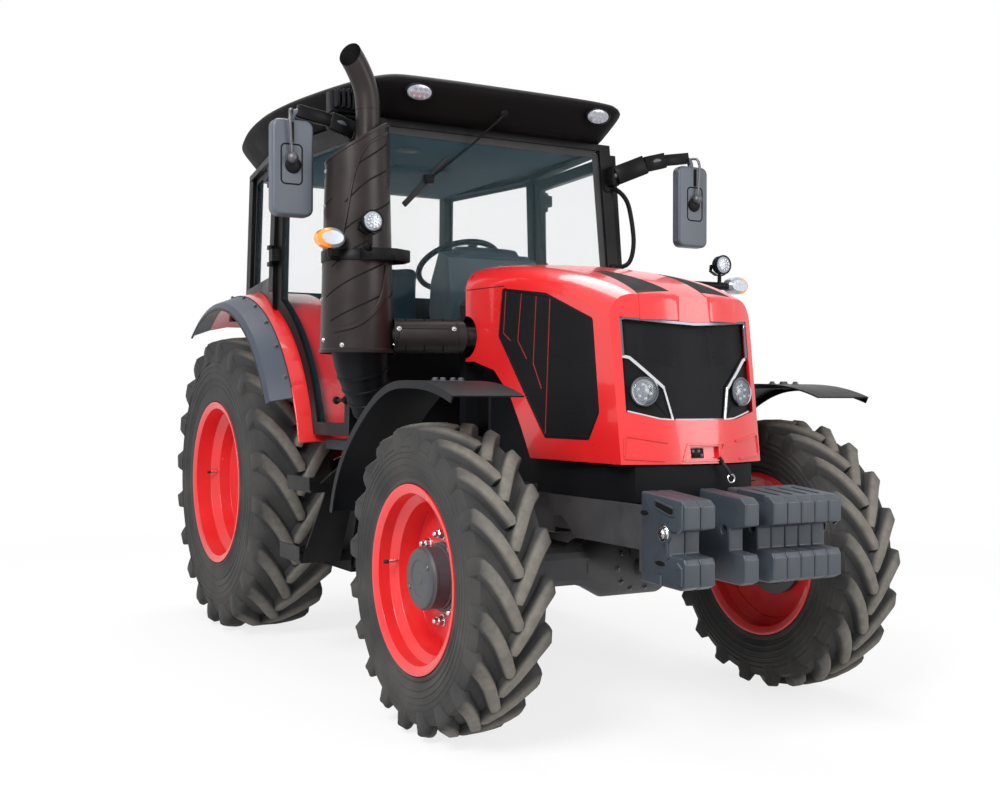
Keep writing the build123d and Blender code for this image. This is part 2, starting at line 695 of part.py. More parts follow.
def front_weights():
    """Row of suitcase weights hooked on the front plate."""
    top = FRONT_R + WEIGHT_UP
    bolt = (WEIGHT_FRONT_X - 111, top - 127)
    face = [(25, 18), (0, 36), (0, 108), (80, 123), (80, 196), (10, 200), (0, 218), (0, 288), (30, 302)]
    profile = [(WEIGHT_FRONT_X - back, top - down) for back, down in face]
    profile += [(WEIGHT_REAR_X, top - 296), (WEIGHT_REAR_X, top)]
    pieces = []
    for i in range(WEIGHT_COUNT):
        y = (i - (WEIGHT_COUNT - 1) / 2) * WEIGHT_PITCH
        half = (WEIGHT_PITCH - WEIGHT_GAP) / 2
        weight = side_plate(profile, y - half, y + half, WEIGHT_ROUND)
        pieces.append(weight - cross_rod(bolt, y - WEIGHT_PITCH, y + WEIGHT_PITCH, WEIGHT_BOLT_R))
    return pieces


def fuel_tank():
    return side_plate([(1020, 690), (1610, 690), (1610, 420), (1060, 420)], BOX_INNER_Y, 630, 30)


def battery_box():
    return right_hand(side_plate([(1090, 690), (1610, 690), (1610, 420), (1090, 420)], BOX_INNER_Y, 630, 20))


def steps():
    """Access steps below each door: hangers with three treads."""
    top = FLOOR_Z - FLOOR_T
    hanger = [(1120, top), (1330, top), (1290, 800), (1160, 460), (900, 460), (900, 500), (1010, 530)]
    shape = side_plate(hanger, 645, 655)
    for x0, x1, z in ((900, 1160, 460), (1000, 1280, 770)):
        shape += block((x0, x1), (645, 880), (z, z + 40))
    return both_sides(shape)


# Exhaust

def exhaust_pipe():
    """Vertical stack with a slanted tip, and the run from the engine."""
    x, y = EXHAUST
    tip = (x - 48, y - 84, 2625)
    stack = pipe([(x, y, 1300), (x, y, 2470), tip], PIPE_R, 150)
    bend = Vector(*tip) - Vector(x, y, 2470)
    stack -= Plane(origin=tip, z_dir=bend) * Cylinder(PIPE_R - 4, 160)
    return stack + elbow_run(PIPE_R - 3)


def exhaust_shields():
    """Heat shield round the stack on a bracket to the cab, and the cover of the elbow."""
    x, y = EXHAUST
    length, low = 880, 1350
    middle = low + length / 2
    shell = Pos(x, y, middle) * (Cone(150, 128, length) - Cone(144, 122, length))
    slant = Plane(origin=(x, y, low + length + 22), z_dir=(0.16, 0.30, 1)) * Box(600, 600, 80)
    shell -= elbow_run(ELBOW_COVER_R + 2)
    shell -= slant
    collar = Pos(x, y, low + 12) * Cylinder(147, 20)
    bracket = block((A_PILLAR_X + 10 + WALL_T + FIT, x - 50), (y + 105, y + 140), (low + 10, low + 60))
    bracket -= Pos(x, y, middle) * Cylinder(142, length + 40)
    cover = elbow_run(ELBOW_COVER_R) - elbow_run(ELBOW_COVER_R - 5)
    cover &= block((0, 3000), (y + 130, -380), (0, 3000))
    for end in (y + 150, -400):
        share = (end - y) / (ELBOW_END[1] - y)
        at = (x + (ELBOW_END[0] - x) * share, end, ELBOW_Z)
        run = (ELBOW_END[0] - x, ELBOW_END[1] - y, 0)
        cover += Plane(origin=at, z_dir=run) * Cylinder(ELBOW_COVER_R - 2, 10)
    cover -= elbow_run(PIPE_R - 3 + FIT)
    bore = Pos(x, y, low) * Cylinder(PIPE_R + FIT, 400)
    return [shell + (collar - bore) + bracket, cover]


def lamp_arms():
    """Arms of the front lamps: from the cowl on the left, from the exhaust's shield on the right."""
    end, arm_r, post_r = LEFT_SIGNAL[1] - SIGNAL_HALF[0] - 1.1, 18, 10
    left = pipe([(1615, 340 + FIT, 1500), (1615, 420, 1500), (1650, 540, 1640), (1680, 800, 1690),
                 (1690, end, 1690)], arm_r, 40)
    left += rod((1695, 955, 1690), (1695, 955, 1743 - FIT), post_r - 1)
    work = pipe([(1639.3, -790, 1760), (1690, -790, 1760), (1690, -790, 1818 - FIT)], post_r, 20)
    x, y, z = RIGHT_SIGNAL
    signal = pipe([(1583.2, -879.1, 1720), (x, y, 1720), (x, y, z - SIGNAL_HALF[1] - FIT)], post_r, 12)
    return [left, work, signal]


def round_lamp(x, y, z):
    """Work lamp facing forward with a slanted back."""
    body = Pos(x, y, z) * Rot(0, 90, 0) * Cylinder(WORK_LAMP_R, WORK_LAMP_DEPTH)
    return chamfer(body.faces().sort_by(Axis.X)[0].edges(), WORK_LAMP_DEPTH * 0.35)


def work_lamps():
    return [round_lamp(1700, 955, 1785), round_lamp(1695, -790, 1860), *both_sides(roof_lamp())]


def roof_lamp():
    """Oval lamp let into the roof's raked front edge."""
    face = Plane(origin=(1432, 455, ROOF_Z + 92), x_dir=(0, 1, 0), z_dir=(1, 0, -0.55)) * Ellipse(62, 36)
    lamp = extrude(face, amount=-70)
    return lamp - roof()


def oval_lamp(x, y, z):
    """Turn signal: an oval lens facing forward."""
    wide, tall = SIGNAL_HALF
    dome = 14
    plane = Plane(origin=(x - SIGNAL_DEPTH / 2, y, z), x_dir=(0, 1, 0), z_dir=(1, 0, 0))
    back = extrude(plane * Ellipse(wide, tall), amount=SIGNAL_DEPTH - dome)
    edge = plane.offset(SIGNAL_DEPTH - dome) * Ellipse(wide, tall)
    face = plane.offset(SIGNAL_DEPTH) * Ellipse(wide - 12, tall - 12)
    return back + loft([edge, face])


def beacon():
    """Flashing beacon: a foot and a domed lens."""
    base, r, h = ROOF_Z + ROOF_H + FIT, 52, 95
    lens = Cylinder(r, h - 14)
    lens = fillet(lens.faces().sort_by(Axis.Z)[-1].edges(), r * 0.6)
    foot = Cylinder(r + 6, 14)
    return Pos(900, 330, base + 7) * foot + Pos(900, 330, base + 14 + (h - 14) / 2) * lens


def signal_lamps():
    return [oval_lamp(*LEFT_SIGNAL), oval_lamp(*RIGHT_SIGNAL), beacon()]


# Cab

def pillar_at(foot, top, z):
    """Middle of a leaning pillar at height z."""
    share = (z - foot[2]) / (top[2] - foot[2])
    return tuple(a + (b - a) * share for a, b in zip(foot, top))


A_PILLAR = ((A_PILLAR_X + 40, A_PILLAR_Y, FLOOR_Z), (A_PILLAR_TOP_X, A_PILLAR_TOP_Y, ROOF_Z))
B_PILLAR = ((B_PILLAR_X, B_PILLAR_Y, BELT_Z), (B_PILLAR_X, B_PILLAR_Y - 20, ROOF_Z))
C_PILLAR = ((C_PILLAR_X, C_PILLAR_Y, BELT_Z), (C_PILLAR_X + 30, C_PILLAR_Y - 10, ROOF_Z))
EDGE = PILLAR / 2


def pillar(line):
    """Square tube past both ends of its line, cut level later."""
    spare = 30
    low, high = line[0][2] - spare, line[1][2] + spare
    return bar(pillar_at(*line, low), pillar_at(*line, high), PILLAR, PILLAR)


def roof_ring():
    """Left half of the rail that joins the pillars under the roof."""
    a, b, c = (line[1] for line in (A_PILLAR, B_PILLAR, C_PILLAR))
    outer = plan_plate([(a[0] + EDGE, 0), (a[0] + EDGE, a[1] + EDGE), (b[0], b[1] + EDGE),
                        (c[0] - EDGE, c[1] + EDGE), (c[0] - EDGE, 0)], ROOF_Z - EDGE, ROOF_Z)
    inner = plan_plate([(a[0] - EDGE, -1), (a[0] - EDGE, a[1] - EDGE), (b[0], b[1] - EDGE),
                        (c[0] + EDGE, c[1] - EDGE), (c[0] + EDGE, -1)], ROOF_Z - EDGE - 1, ROOF_Z + 1)
    return outer - inner


def wheel_well(radius):
    """Drum round the rear axle, across the whole machine."""
    return cross_rod((0, REAR_R), -1000, 1000, radius)


def belt_panel():
    """Left side panel and rear rail between the fender and the windows."""
    b, c = B_PILLAR[0], C_PILLAR[0]
    rail = plan_plate([(b[0] + EDGE, b[1] + EDGE), (c[0] - EDGE, c[1] + EDGE), (c[0] - EDGE, 0),
                       (c[0] + EDGE, 0), (c[0] + EDGE, c[1] - EDGE), (b[0] + EDGE, b[1] - EDGE)],
                      1500, BELT_Z + WINDOW_SILL)
    return rail - wheel_well(FENDER_R + FIT)


def door_hinges(side, z):
    """Knuckles of one door hinge: side is pillar or door."""
    x, y = DOOR_HINGE
    reach = 45
    if side == "pillar":
        knuckle_pair = Pos(x, y, z) * Cylinder(HINGE_PIN_R, 100)
        for dz in (-40, 40):
            knuckle_pair += Pos(x, y, z + dz) * Cylinder(HINGE_R, 20)
            knuckle_pair += block((x - 30, x), (y - reach, y + HINGE_R), (z + dz - 10, z + dz + 10))
        return knuckle_pair
    leaf = Pos(x, y, z) * Cylinder(HINGE_R, 58)
    leaf += block((x + HINGE_R / 2, x + 45), (y - reach, y + HINGE_R), (z - 29, z + 29))
    return leaf - Pos(x, y, z) * Cylinder(HINGE_PIN_R + ROD_FIT, 100)


def cab_frame():
    """Six-pillar welded frame with roof rails, belt panels, front wall and rear wall."""
    half = pillar(A_PILLAR) + pillar(B_PILLAR) + pillar(C_PILLAR) + roof_ring()
    half &= block((-1000, 2000), (-900, 900), (FLOOR_Z, ROOF_Z))
    half -= wheel_well(FENDER_R + FIT)
    half += belt_panel()
    deck = DECK_Z + FLOOR_T
    half += side_plate([(C_PILLAR_X - EDGE, BELT_Z), (C_PILLAR_X + EDGE, BELT_Z), (DECK_REAR_X + WALL_T, deck),
                        (DECK_REAR_X, deck)], 0, FENDER_INNER_Y - FIT)
    half += block((A_PILLAR_X + 10, A_PILLAR_X + 10 + WALL_T), (0, A_PILLAR_Y), (FLOOR_Z, WINDSCREEN_Z))
    for z in HINGE_HEIGHTS:
        half += door_hinges("pillar", z)
    return half + right_hand(half)


def cab_floor():
    """Flat foot well between the doors, a riser and the raised deck over the rear axle."""
    front, well, riser = A_PILLAR_X + 10 + WALL_T, 960, 305
    inner, sill = FENDER_INNER_Y - FIT, 690
    shape = plan_plate([(front, -sill), (front, sill), (well, sill), (well, inner), (riser, inner),
                        (riser, -inner), (well, -inner), (well, -sill)], FLOOR_Z - FLOOR_T, FLOOR_Z)
    shape += block((riser, riser + FLOOR_T), (-inner, inner), (FLOOR_Z, DECK_Z + FLOOR_T))
    return shape + block((DECK_REAR_X, riser + FLOOR_T), (-inner, inner), (DECK_Z, DECK_Z + FLOOR_T))


def roof_plan(inset, z):
    """Plan of the roof drawn in by inset at one height, with rounded corners."""
    half = [(1428 - inset, 575 - 0.4 * inset), (1000, 735 - inset), (B_PILLAR_X, 838 - inset),
            (-300, 730 - inset), (-520 + inset, 600 - 0.4 * inset)]
    points = half + [(x, -y) for x, y in reversed(half)]
    return outline([(x, y, z) for x, y in points], ROOF_CORNER)


def roof():
    """Shallow dome: raked sides up to the widest line, then rounded in to a flat crown."""
    low = ROOF_Z + FIT
    sides = loft([roof_plan(92, low), roof_plan(0, low + 130)], ruled=True)
    shoulder = loft([roof_plan(0, low + 130), roof_plan(28, low + 165)], ruled=True)
    crown = loft([roof_plan(28, low + 165), roof_plan(150, ROOF_Z + ROOF_H)], ruled=True)
    return sides + shoulder + crown


def pane(low, high, z0, z1):
    """Sheet of glass between two plan lines, one at the sill and one at the rail."""
    faces = []
    for z, ((xa, ya), (xb, yb)) in ((z0, low), (z1, high)):
        faces.append(outline([(xa, ya, z), (xb, yb, z), (xb, yb - GLASS_T, z), (xa, ya - GLASS_T, z)]))
    return loft(faces, ruled=True)


def flat_pane(low, high, ahead, gap):
    """Leaning sheet of glass across the cab between a pair of pillars."""
    x0, x1 = low[0] + ahead, high[0] + ahead
    lean = side_plate([(x0, low[2]), (x0 + GLASS_T, low[2]), (x1 + GLASS_T, high[2]), (x1, high[2])], -700, 700)
    y0, y1 = low[1] - gap, high[1] - gap
    return lean & front_plate([(-y0, low[2]), (y0, low[2]), (y1, high[2]), (-y1, high[2])], -600, 1500)


def cab_glass():
    """Windscreen, rear window and the two side windows behind the doors."""
    top = ROOF_Z - EDGE - FIT
    low = WINDSCREEN_Z + FIT
    a_low, a_top = pillar_at(*A_PILLAR, low), pillar_at(*A_PILLAR, top)
    windscreen = flat_pane(a_low, a_top, 12, EDGE + 1)
    sill = BELT_Z + WINDOW_SILL + FIT
    c_low, c_top = pillar_at(*C_PILLAR, sill), pillar_at(*C_PILLAR, top)
    b_low, b_top = pillar_at(*B_PILLAR, sill), pillar_at(*B_PILLAR, top)
    rear = flat_pane(c_low, c_top, 0, EDGE + FIT)
    gap = EDGE + FIT
    quarter = pane(((b_low[0] - gap, b_low[1] - 8), (c_low[0] + gap, c_low[1] + 8)),
                   ((b_top[0] - gap, b_top[1] - 8), (c_top[0] + gap, c_top[1] + 8)), sill, top)
    return [windscreen, rear, *both_sides(quarter)]


def fender_arc(profile, front_deg):
    """Sheet of (radius, y) points turned over the rear wheel from the fender's rear end to front_deg."""
    arc = revolve(make_face(Polyline(*profile, close=True)), Axis.Y, FENDER_REAR_DEG - front_deg)
    return Pos(0, 0, REAR_R) * Rot(0, -FENDER_REAR_DEG, 0) * arc


def rear_fender():
    """Red arch over the tyre with its wall on the cab's side."""
    under, wall, slope = FENDER_R - FENDER_T, FENDER_INNER_Y + FENDER_T, 700
    return fender_arc([
        (FENDER_R, FENDER_INNER_Y), (FENDER_R, slope), (FENDER_R - FENDER_DROP, FENDER_SEAM_Y),
        (under - FENDER_DROP, FENDER_SEAM_Y), (under, slope), (under, wall), (FENDER_WALL_R, wall),
        (FENDER_WALL_R, FENDER_INNER_Y),
    ], FENDER_FRONT_DEG)


def fender_extension():
    """Black rim outboard of the red arch with a turned-down edge."""
    y0 = FENDER_SEAM_Y + FIT
    return fender_arc([
        (FENDER_R - FENDER_DROP, y0), (FENDER_R - 62, FENDER_OUTER_Y - 14), (FENDER_R - 88, FENDER_OUTER_Y),
        (FENDER_R - 94, FENDER_OUTER_Y - 8), (FENDER_R - 72, FENDER_OUTER_Y - 22),
        (FENDER_R - FENDER_DROP - FENDER_T, y0),
    ], EXTENSION_FRONT_DEG)


def door_slab(inset, depth):
    """Slab of the door between the sill and the roof rail, drawn in by inset from the outside."""
    faces = []
    levels = ((FLOOR_Z, B_PILLAR_Y + 26, A_PILLAR_Y + 70), (ROOF_Z, B_PILLAR_Y + 4, A_PILLAR_TOP_Y + 70))
    for z, rear_y, front_y in levels:
        line = [(B_PILLAR_X, rear_y - inset), (A_PILLAR_X + 60, front_y - inset),
                (A_PILLAR_X + 60, front_y - inset - depth), (B_PILLAR_X, rear_y - inset - depth)]
        faces.append(outline([(x, y, z) for x, y in line]))
    return loft(faces, ruled=True)


def door_area(inset):
    """Side-view area of the door: over the sill, ahead of the fender and behind the front pillar."""
    low, high = FLOOR_Z + 20 + inset, ROOF_Z - 40 - inset
    rear = B_PILLAR_X + PILLAR / 2 + DOOR_GAP + inset
    area = side_plate([(A_PILLAR_X + 30 - inset, low), (A_PILLAR_TOP_X + 6 - inset, high),
                       (rear, high), (rear, low)], 400, 900)
    return area - wheel_well(FENDER_R + DOOR_GAP + inset)


def door():
    """Left door frame round one large pane, with its hinge leaves."""
    shape = (door_slab(0, DOOR_T) & door_area(0)) - door_area(DOOR_FRAME)
    for z in HINGE_HEIGHTS:
        shape += door_hinges("door", z)
    return shape


def door_glass():
    inset = (DOOR_T - GLASS_T) / 2
    return door_slab(inset, GLASS_T) & door_area(DOOR_FRAME + FIT)


def seat():
    """Base cushion and backrest on a suspension post."""
    deck = DECK_Z + FLOOR_T
    base = block((20, 480), (-240, 240), (1290, 1420))
    back = block((-60, 60), (-230, 230), (1420 + FIT, 1900))
    post = block((80, 340), (-160, 160), (deck + FIT, 1290 - FIT))
    return [base, back, post]


def steering_axis(along):
    """Point on the steering column, measured up from the middle of the wheel."""
    tilt = math.radians(WHEEL_TILT)
    x, y, z = STEERING_HUB
    return (x - along * math.sin(tilt), y, z + along * math.cos(tilt))


def dashboard():
    """Instrument console on the front wall with the steering column."""
    low, front = FLOOR_Z + FIT, A_PILLAR_X + 10 - FIT
    body = side_plate([(1190, low), (front, low), (front, 1400), (1275, 1700), (1262, 1800), (1170, 1835),
                       (1085, 1700), (1065, 1560), (1140, 1400)], -230, 230)
    return body + rod(steering_axis(-320), steering_axis(-26 - FIT), 32)


def steering_wheel():
    ring = Torus(195, 14)
    spoke = Box(390, 40, 12)
    hub = Cylinder(40, 52)
    return Pos(*STEERING_HUB) * Rot(0, -WHEEL_TILT, 0) * (ring + spoke + hub)


def mirrors():
    low = ROOF_Z - 155
    root = pillar_at(*A_PILLAR, low)
    head = block((1380, 1430), (925, 1100), (1900, 2290))
    head = fillet(head.edges().filter_by(Axis.X), 34)
    head = fillet(head.faces().sort_by(Axis.X)[-1].edges(), 14)
    start = root[0] + EDGE + 1.3
    arm = pipe([(start, 612, low), (start + 60, 612, low), (1410, 800, low + 80), (1405, 1012, low + 110),
                (1405, 1012, low - 20)], 14, 30)
    return both_sides(head + arm)


# Rear hitch

def lower_links():
    """Pair of draft links with a ball eye at each end."""
    x, z = LINK_PIVOT
    end_z = 510
    link = side_plate([(x + 45, z - 32), (x + 45, z + 32), (LINK_END_X, end_z + 35),
                       (LINK_END_X - LINK_TIP, end_z), (LINK_END_X, end_z - 35)], LINK_Y - 13, LINK_Y + 13)
    link -= cross_rod(LINK_PIVOT, 0, 500, LINK_PIN_R + ROD_FIT)
    link -= cross_rod((LINK_END_X + 10, end_z), 0, 500, LINK_EYE_R)
    return both_sides(link)


def lift_arms():
    """Rockshaft with an arm at each end and the pin that carries the lift rod."""
    x, z = LIFT_PIVOT
    shape = cross_rod(LIFT_PIVOT, -285, 285, ROCKSHAFT_R)
    for side in (-1, 1):
        y = side * 268
        shape += bar((x, y, z), (LIFT_ARM_END[0], y, LIFT_ARM_END[1]), 66, 40, (0, 0, 1))
        shape += cross_rod(LIFT_ARM_END, y, side * 310, LIFT_PIN_R)
    return shape


def lift_rods():
    """Rods from the lift arms down to the links, each with an eye on the arm's pin."""
    x, z = LIFT_ARM_END
    foot_x, foot_z = LIFT_ROD_FOOT
    y0, y1, eye_r = 291, 311, 26
    piece = rod((x, (y0 + y1) / 2, z), (foot_x, (y0 + y1) / 2, foot_z), 9.5)
    piece += cross_rod(LIFT_ARM_END, y0, y1, eye_r) + cross_rod(LIFT_ROD_FOOT, y0, y1, eye_r)
    piece -= cross_rod(LIFT_ARM_END, 0, 400, LIFT_PIN_R + ROD_FIT)
    return both_sides(piece)


def rear_hitch():
    """Swinging drawbar with its pin hole, and the top link in its bracket."""
    bar_end = -620
    drawbar = block((bar_end, 250), (-40, 40), (390, 430 - FIT))
    drawbar -= Pos(bar_end + 50, 0, 400) * Cylinder(DRAWBAR_PIN_R, 200)
    eye = (-REAR_R - 65, 700)
    link = rod((-301, 0, 870), (eye[0], 0, eye[1]), 20) & block((-2000, -300 - FIT), (-100, 100), (0, 2000))
    link = link + cross_rod(eye, -25, 25, 34) - cross_rod(eye, -50, 50, TOP_EYE_R)
    return [drawbar, link]


def assemble():
    front_tyre = at_front_wheel(tyre(FRONT_TYRE_D, FRONT_TYRE_W, FRONT_RIM_D, FRONT_RIM_W))
    rear_tyre = at_rear_wheel(tyre(REAR_TYRE_D, REAR_TYRE_W, REAR_RIM_D, REAR_RIM_W))
    left = {
        "front_tyre": front_tyre,
        "front_rim": at_front_wheel(front_rim()),
        "front_hub": at_front_wheel(front_hub()),
        "rear_tyre": rear_tyre,
        "rear_rim": at_rear_wheel(rear_rim()),
        "knuckle": knuckle(),
        "front_fender": front_fender(),
        "door": door(),
        "door_glass": door_glass(),
    }
    parts = {}
    for name, shape in left.items():
        parts[f"{name}_left"] = shape
        parts[f"{name}_right"] = right_hand(shape)
    parts |= {
        "front_axle": front_axle(),
        "steering_rod": steering_rod(),
        "hood": hood(),
        "hood_screens": hood_screens(),
        "headlamps": headlamps(),
        "front_frame": front_frame(),
        "engine": engine(),
        "transmission": transmission(),
        "rear_axle": rear_axle(),
        "lower_panels": lower_panels(),
        "front_weights": front_weights(),
        "fuel_tank": fuel_tank(),
        "battery_box": battery_box(),
        "steps": steps(),
        "exhaust_pipe": exhaust_pipe(),
        "exhaust_shields": exhaust_shields(),
        "lamp_arms": lamp_arms(),
        "work_lamps": work_lamps(),
        "signal_lamps": signal_lamps(),
        "cab_frame": cab_frame(),
        "cab_floor": cab_floor(),
        "roof": roof(),
        "cab_glass": cab_glass(),
        "rear_fenders": both_sides(rear_fender()),
        "fender_extensions": both_sides(fender_extension()),
        "seat": seat(),
        "dashboard": dashboard(),
        "steering_wheel": steering_wheel(),
        "mirrors": mirrors(),
        "lower_links": lower_links(),
        "lift_arms": lift_arms(),
        "lift_rods": lift_rods(),
        "rear_hitch": rear_hitch(),
    }
    return parts


def main():
    os.makedirs("parts", exist_ok=True)
    to_origin = Pos(-MIDDLE_X, 0, 0)
    for name, shape in assemble().items():
        pieces = shape if isinstance(shape, list) else [shape]
        solids = [solid for piece in pieces for solid in piece.solids()]
        moved = [to_origin * solid for solid in solids]
        export_step(moved[0] if len(moved) == 1 else Compound(children=moved), f"parts/{name}.step")


main()
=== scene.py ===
import json
import math
from contextlib import contextmanager

import bmesh
import bpy
from mathutils import Matrix, Vector
from mathutils.bvhtree import BVHTree

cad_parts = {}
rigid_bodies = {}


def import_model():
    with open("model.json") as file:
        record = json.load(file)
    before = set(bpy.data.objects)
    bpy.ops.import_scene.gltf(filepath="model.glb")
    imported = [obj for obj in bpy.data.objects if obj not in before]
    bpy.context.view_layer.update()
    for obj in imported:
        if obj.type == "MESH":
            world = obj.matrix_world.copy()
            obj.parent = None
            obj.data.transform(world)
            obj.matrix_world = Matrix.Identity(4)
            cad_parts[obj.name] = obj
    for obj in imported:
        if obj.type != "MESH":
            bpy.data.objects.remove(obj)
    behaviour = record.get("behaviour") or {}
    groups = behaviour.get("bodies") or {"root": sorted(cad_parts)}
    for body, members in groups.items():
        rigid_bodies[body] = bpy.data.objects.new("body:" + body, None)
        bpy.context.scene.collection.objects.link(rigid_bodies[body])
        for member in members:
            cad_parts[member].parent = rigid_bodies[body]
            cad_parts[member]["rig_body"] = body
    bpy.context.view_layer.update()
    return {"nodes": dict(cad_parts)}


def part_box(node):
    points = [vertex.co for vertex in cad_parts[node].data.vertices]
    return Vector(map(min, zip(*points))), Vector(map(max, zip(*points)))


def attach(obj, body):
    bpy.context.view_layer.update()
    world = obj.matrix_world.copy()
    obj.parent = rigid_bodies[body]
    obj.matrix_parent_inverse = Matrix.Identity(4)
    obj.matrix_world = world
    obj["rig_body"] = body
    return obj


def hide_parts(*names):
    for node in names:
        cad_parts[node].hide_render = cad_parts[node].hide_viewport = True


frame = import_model()
nodes = frame["nodes"]
print("frame loaded:", len(nodes), "nodes")

scene = bpy.context.scene
scene.view_settings.view_transform = "Standard"


def srgb(red, green, blue):
    # screen values 0..255 to the linear colour that sockets take
    def linear(value):
        value /= 255
        return value / 12.92 if value <= 0.04045 else ((value + 0.055) / 1.055) ** 2.4
    return (linear(red), linear(green), linear(blue), 1.0)


def addObject(name, mesh):
    piece = bpy.data.objects.new(name, mesh)
    scene.collection.objects.link(piece)
    return piece


def centreOf(node):
    low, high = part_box(node)
    return (low + high) / 2


def newGroup(name, inputs, outputs, kind="ShaderNodeTree"):
    # empty group with named sockets, its start and its end
    tree = bpy.data.node_groups.new(name, kind)
    for label, socketType, value in inputs:
        socket = tree.interface.new_socket(label, in_out="INPUT", socket_type="NodeSocket" + socketType)
        if value is not None:
            socket.default_value = value
    for label, socketType in outputs:
        tree.interface.new_socket(label, in_out="OUTPUT", socket_type="NodeSocket" + socketType)
    return tree, tree.nodes.new("NodeGroupInput"), tree.nodes.new("NodeGroupOutput")


def setSockets(node, values):
    for label, value in values.items():
        node.inputs[label].default_value = value
    return node


def addNode(tree, kind, values=None, operation=None):
    node = tree.nodes.new(kind)
    if operation:
        node.operation = operation
    return setSockets(node, values or {})


def wire(tree, *links):
    # links given as (node, output, node, input)
    for first, output, second, into in links:
        tree.links.new(first.outputs[output], second.inputs[into])


def mottleGroup():
    # slow clouds of tone, 0..1
    tree, start, end = newGroup("mottle", [("Vector", "Vector", None), ("Scale", "Float", 3.0)],
                                [("Mask", "Float")])
    noise = addNode(tree, "ShaderNodeTexNoise", {"Detail": 5.0, "Roughness": 0.62})
    spread = addNode(tree, "ShaderNodeMapRange", {"From Min": 0.3, "From Max": 0.7})
    wire(tree, (start, "Vector", noise, "Vector"), (start, "Scale", noise, "Scale"),
         (noise, "Fac", spread, "Value"),
         (spread, "Result", end, "Mask"))
    return tree


def grainGroup():
    # moulded or cast grain as a height
    tree, start, end = newGroup("grain", [("Vector", "Vector", None), ("Scale", "Float", 400.0),
                                          ("Pits", "Float", 0.3)], [("Height", "Float")])
    cells = addNode(tree, "ShaderNodeTexVoronoi")
    cells.feature = "SMOOTH_F1"
    noise = addNode(tree, "ShaderNodeTexNoise", {"Detail": 3.0})
    mix = addNode(tree, "ShaderNodeMix")
    for texture in (cells, noise):
        wire(tree, (start, "Vector", texture, "Vector"), (start, "Scale", texture, "Scale"))
    wire(tree, (start, "Pits", mix, "Factor"), (noise, "Fac", mix, "A"), (cells, "Distance", mix, "B"),
         (mix, "Result", end, "Height"))
    return tree


def dustGroup():
    # dust that thickens towards the ground and lies in clouds
    tree, start, end = newGroup("dust", [("Vector", "Vector", None), ("Top", "Float", 1.2),
                                         ("Scale", "Float", 6.0),
                                         ("Amount", "Float", 0.4)], [("Mask", "Float")])
    split = addNode(tree, "ShaderNodeSeparateXYZ")
    fall = addNode(tree, "ShaderNodeMapRange", {"To Min": 1.0, "To Max": 0.15})
    noise = addNode(tree, "ShaderNodeTexNoise", {"Detail": 6.0})
    clouds = addNode(tree, "ShaderNodeMapRange", {"From Min": 0.35, "From Max": 0.75})
    both = addNode(tree, "ShaderNodeMath", operation="MULTIPLY")
    share = addNode(tree, "ShaderNodeMath", operation="MULTIPLY")
    wire(tree, (start, "Vector", split, "Vector"), (split, "Z", fall, "Value"),
         (start, "Top", fall, "From Max"),
         (start, "Vector", noise, "Vector"), (start, "Scale", noise, "Scale"),
         (noise, "Fac", clouds, "Value"),
         (fall, "Result", both, 0), (clouds, "Result", both, 1), (both, "Value", share, 0),
         (start, "Amount", share, 1), (share, "Value", end, "Mask"))
    return tree


effects = {"mottle": mottleGroup(), "grain": grainGroup(), "dust": dustGroup()}


def placeEffect(tree, name, source, **values):
    effect = tree.nodes.new("ShaderNodeGroup")
    effect.node_tree = effects[name]
    tree.links.new(source, effect.inputs["Vector"])
    for label, value in values.items():
        effect.inputs[label].default_value = value
    return effect


def blendColour(tree, factor, first, second):
    mix = tree.nodes.new("ShaderNodeMix")
    mix.data_type = "RGBA"
    tree.links.new(factor, mix.inputs["Factor"])
    for socket, value in ((mix.inputs[6], first), (mix.inputs[7], second)):
        if isinstance(value, tuple):
            socket.default_value = value
        else:
            tree.links.new(value, socket)
    return mix.outputs[2]


finishes = {}


def newFinish(name):
    # registered material, with its tree, shader and place on the object
    material = bpy.data.materials.new(name)
    material.use_nodes = True
    finishes[name] = material
    tree = material.node_tree
    return tree, tree.nodes["Principled BSDF"], tree.nodes.new("ShaderNodeTexCoord").outputs["Object"]


def toned(colour, share):
    # colour made lighter or darker
    return tuple(min(1.0, value * share) for value in colour[:3]) + (1.0,)


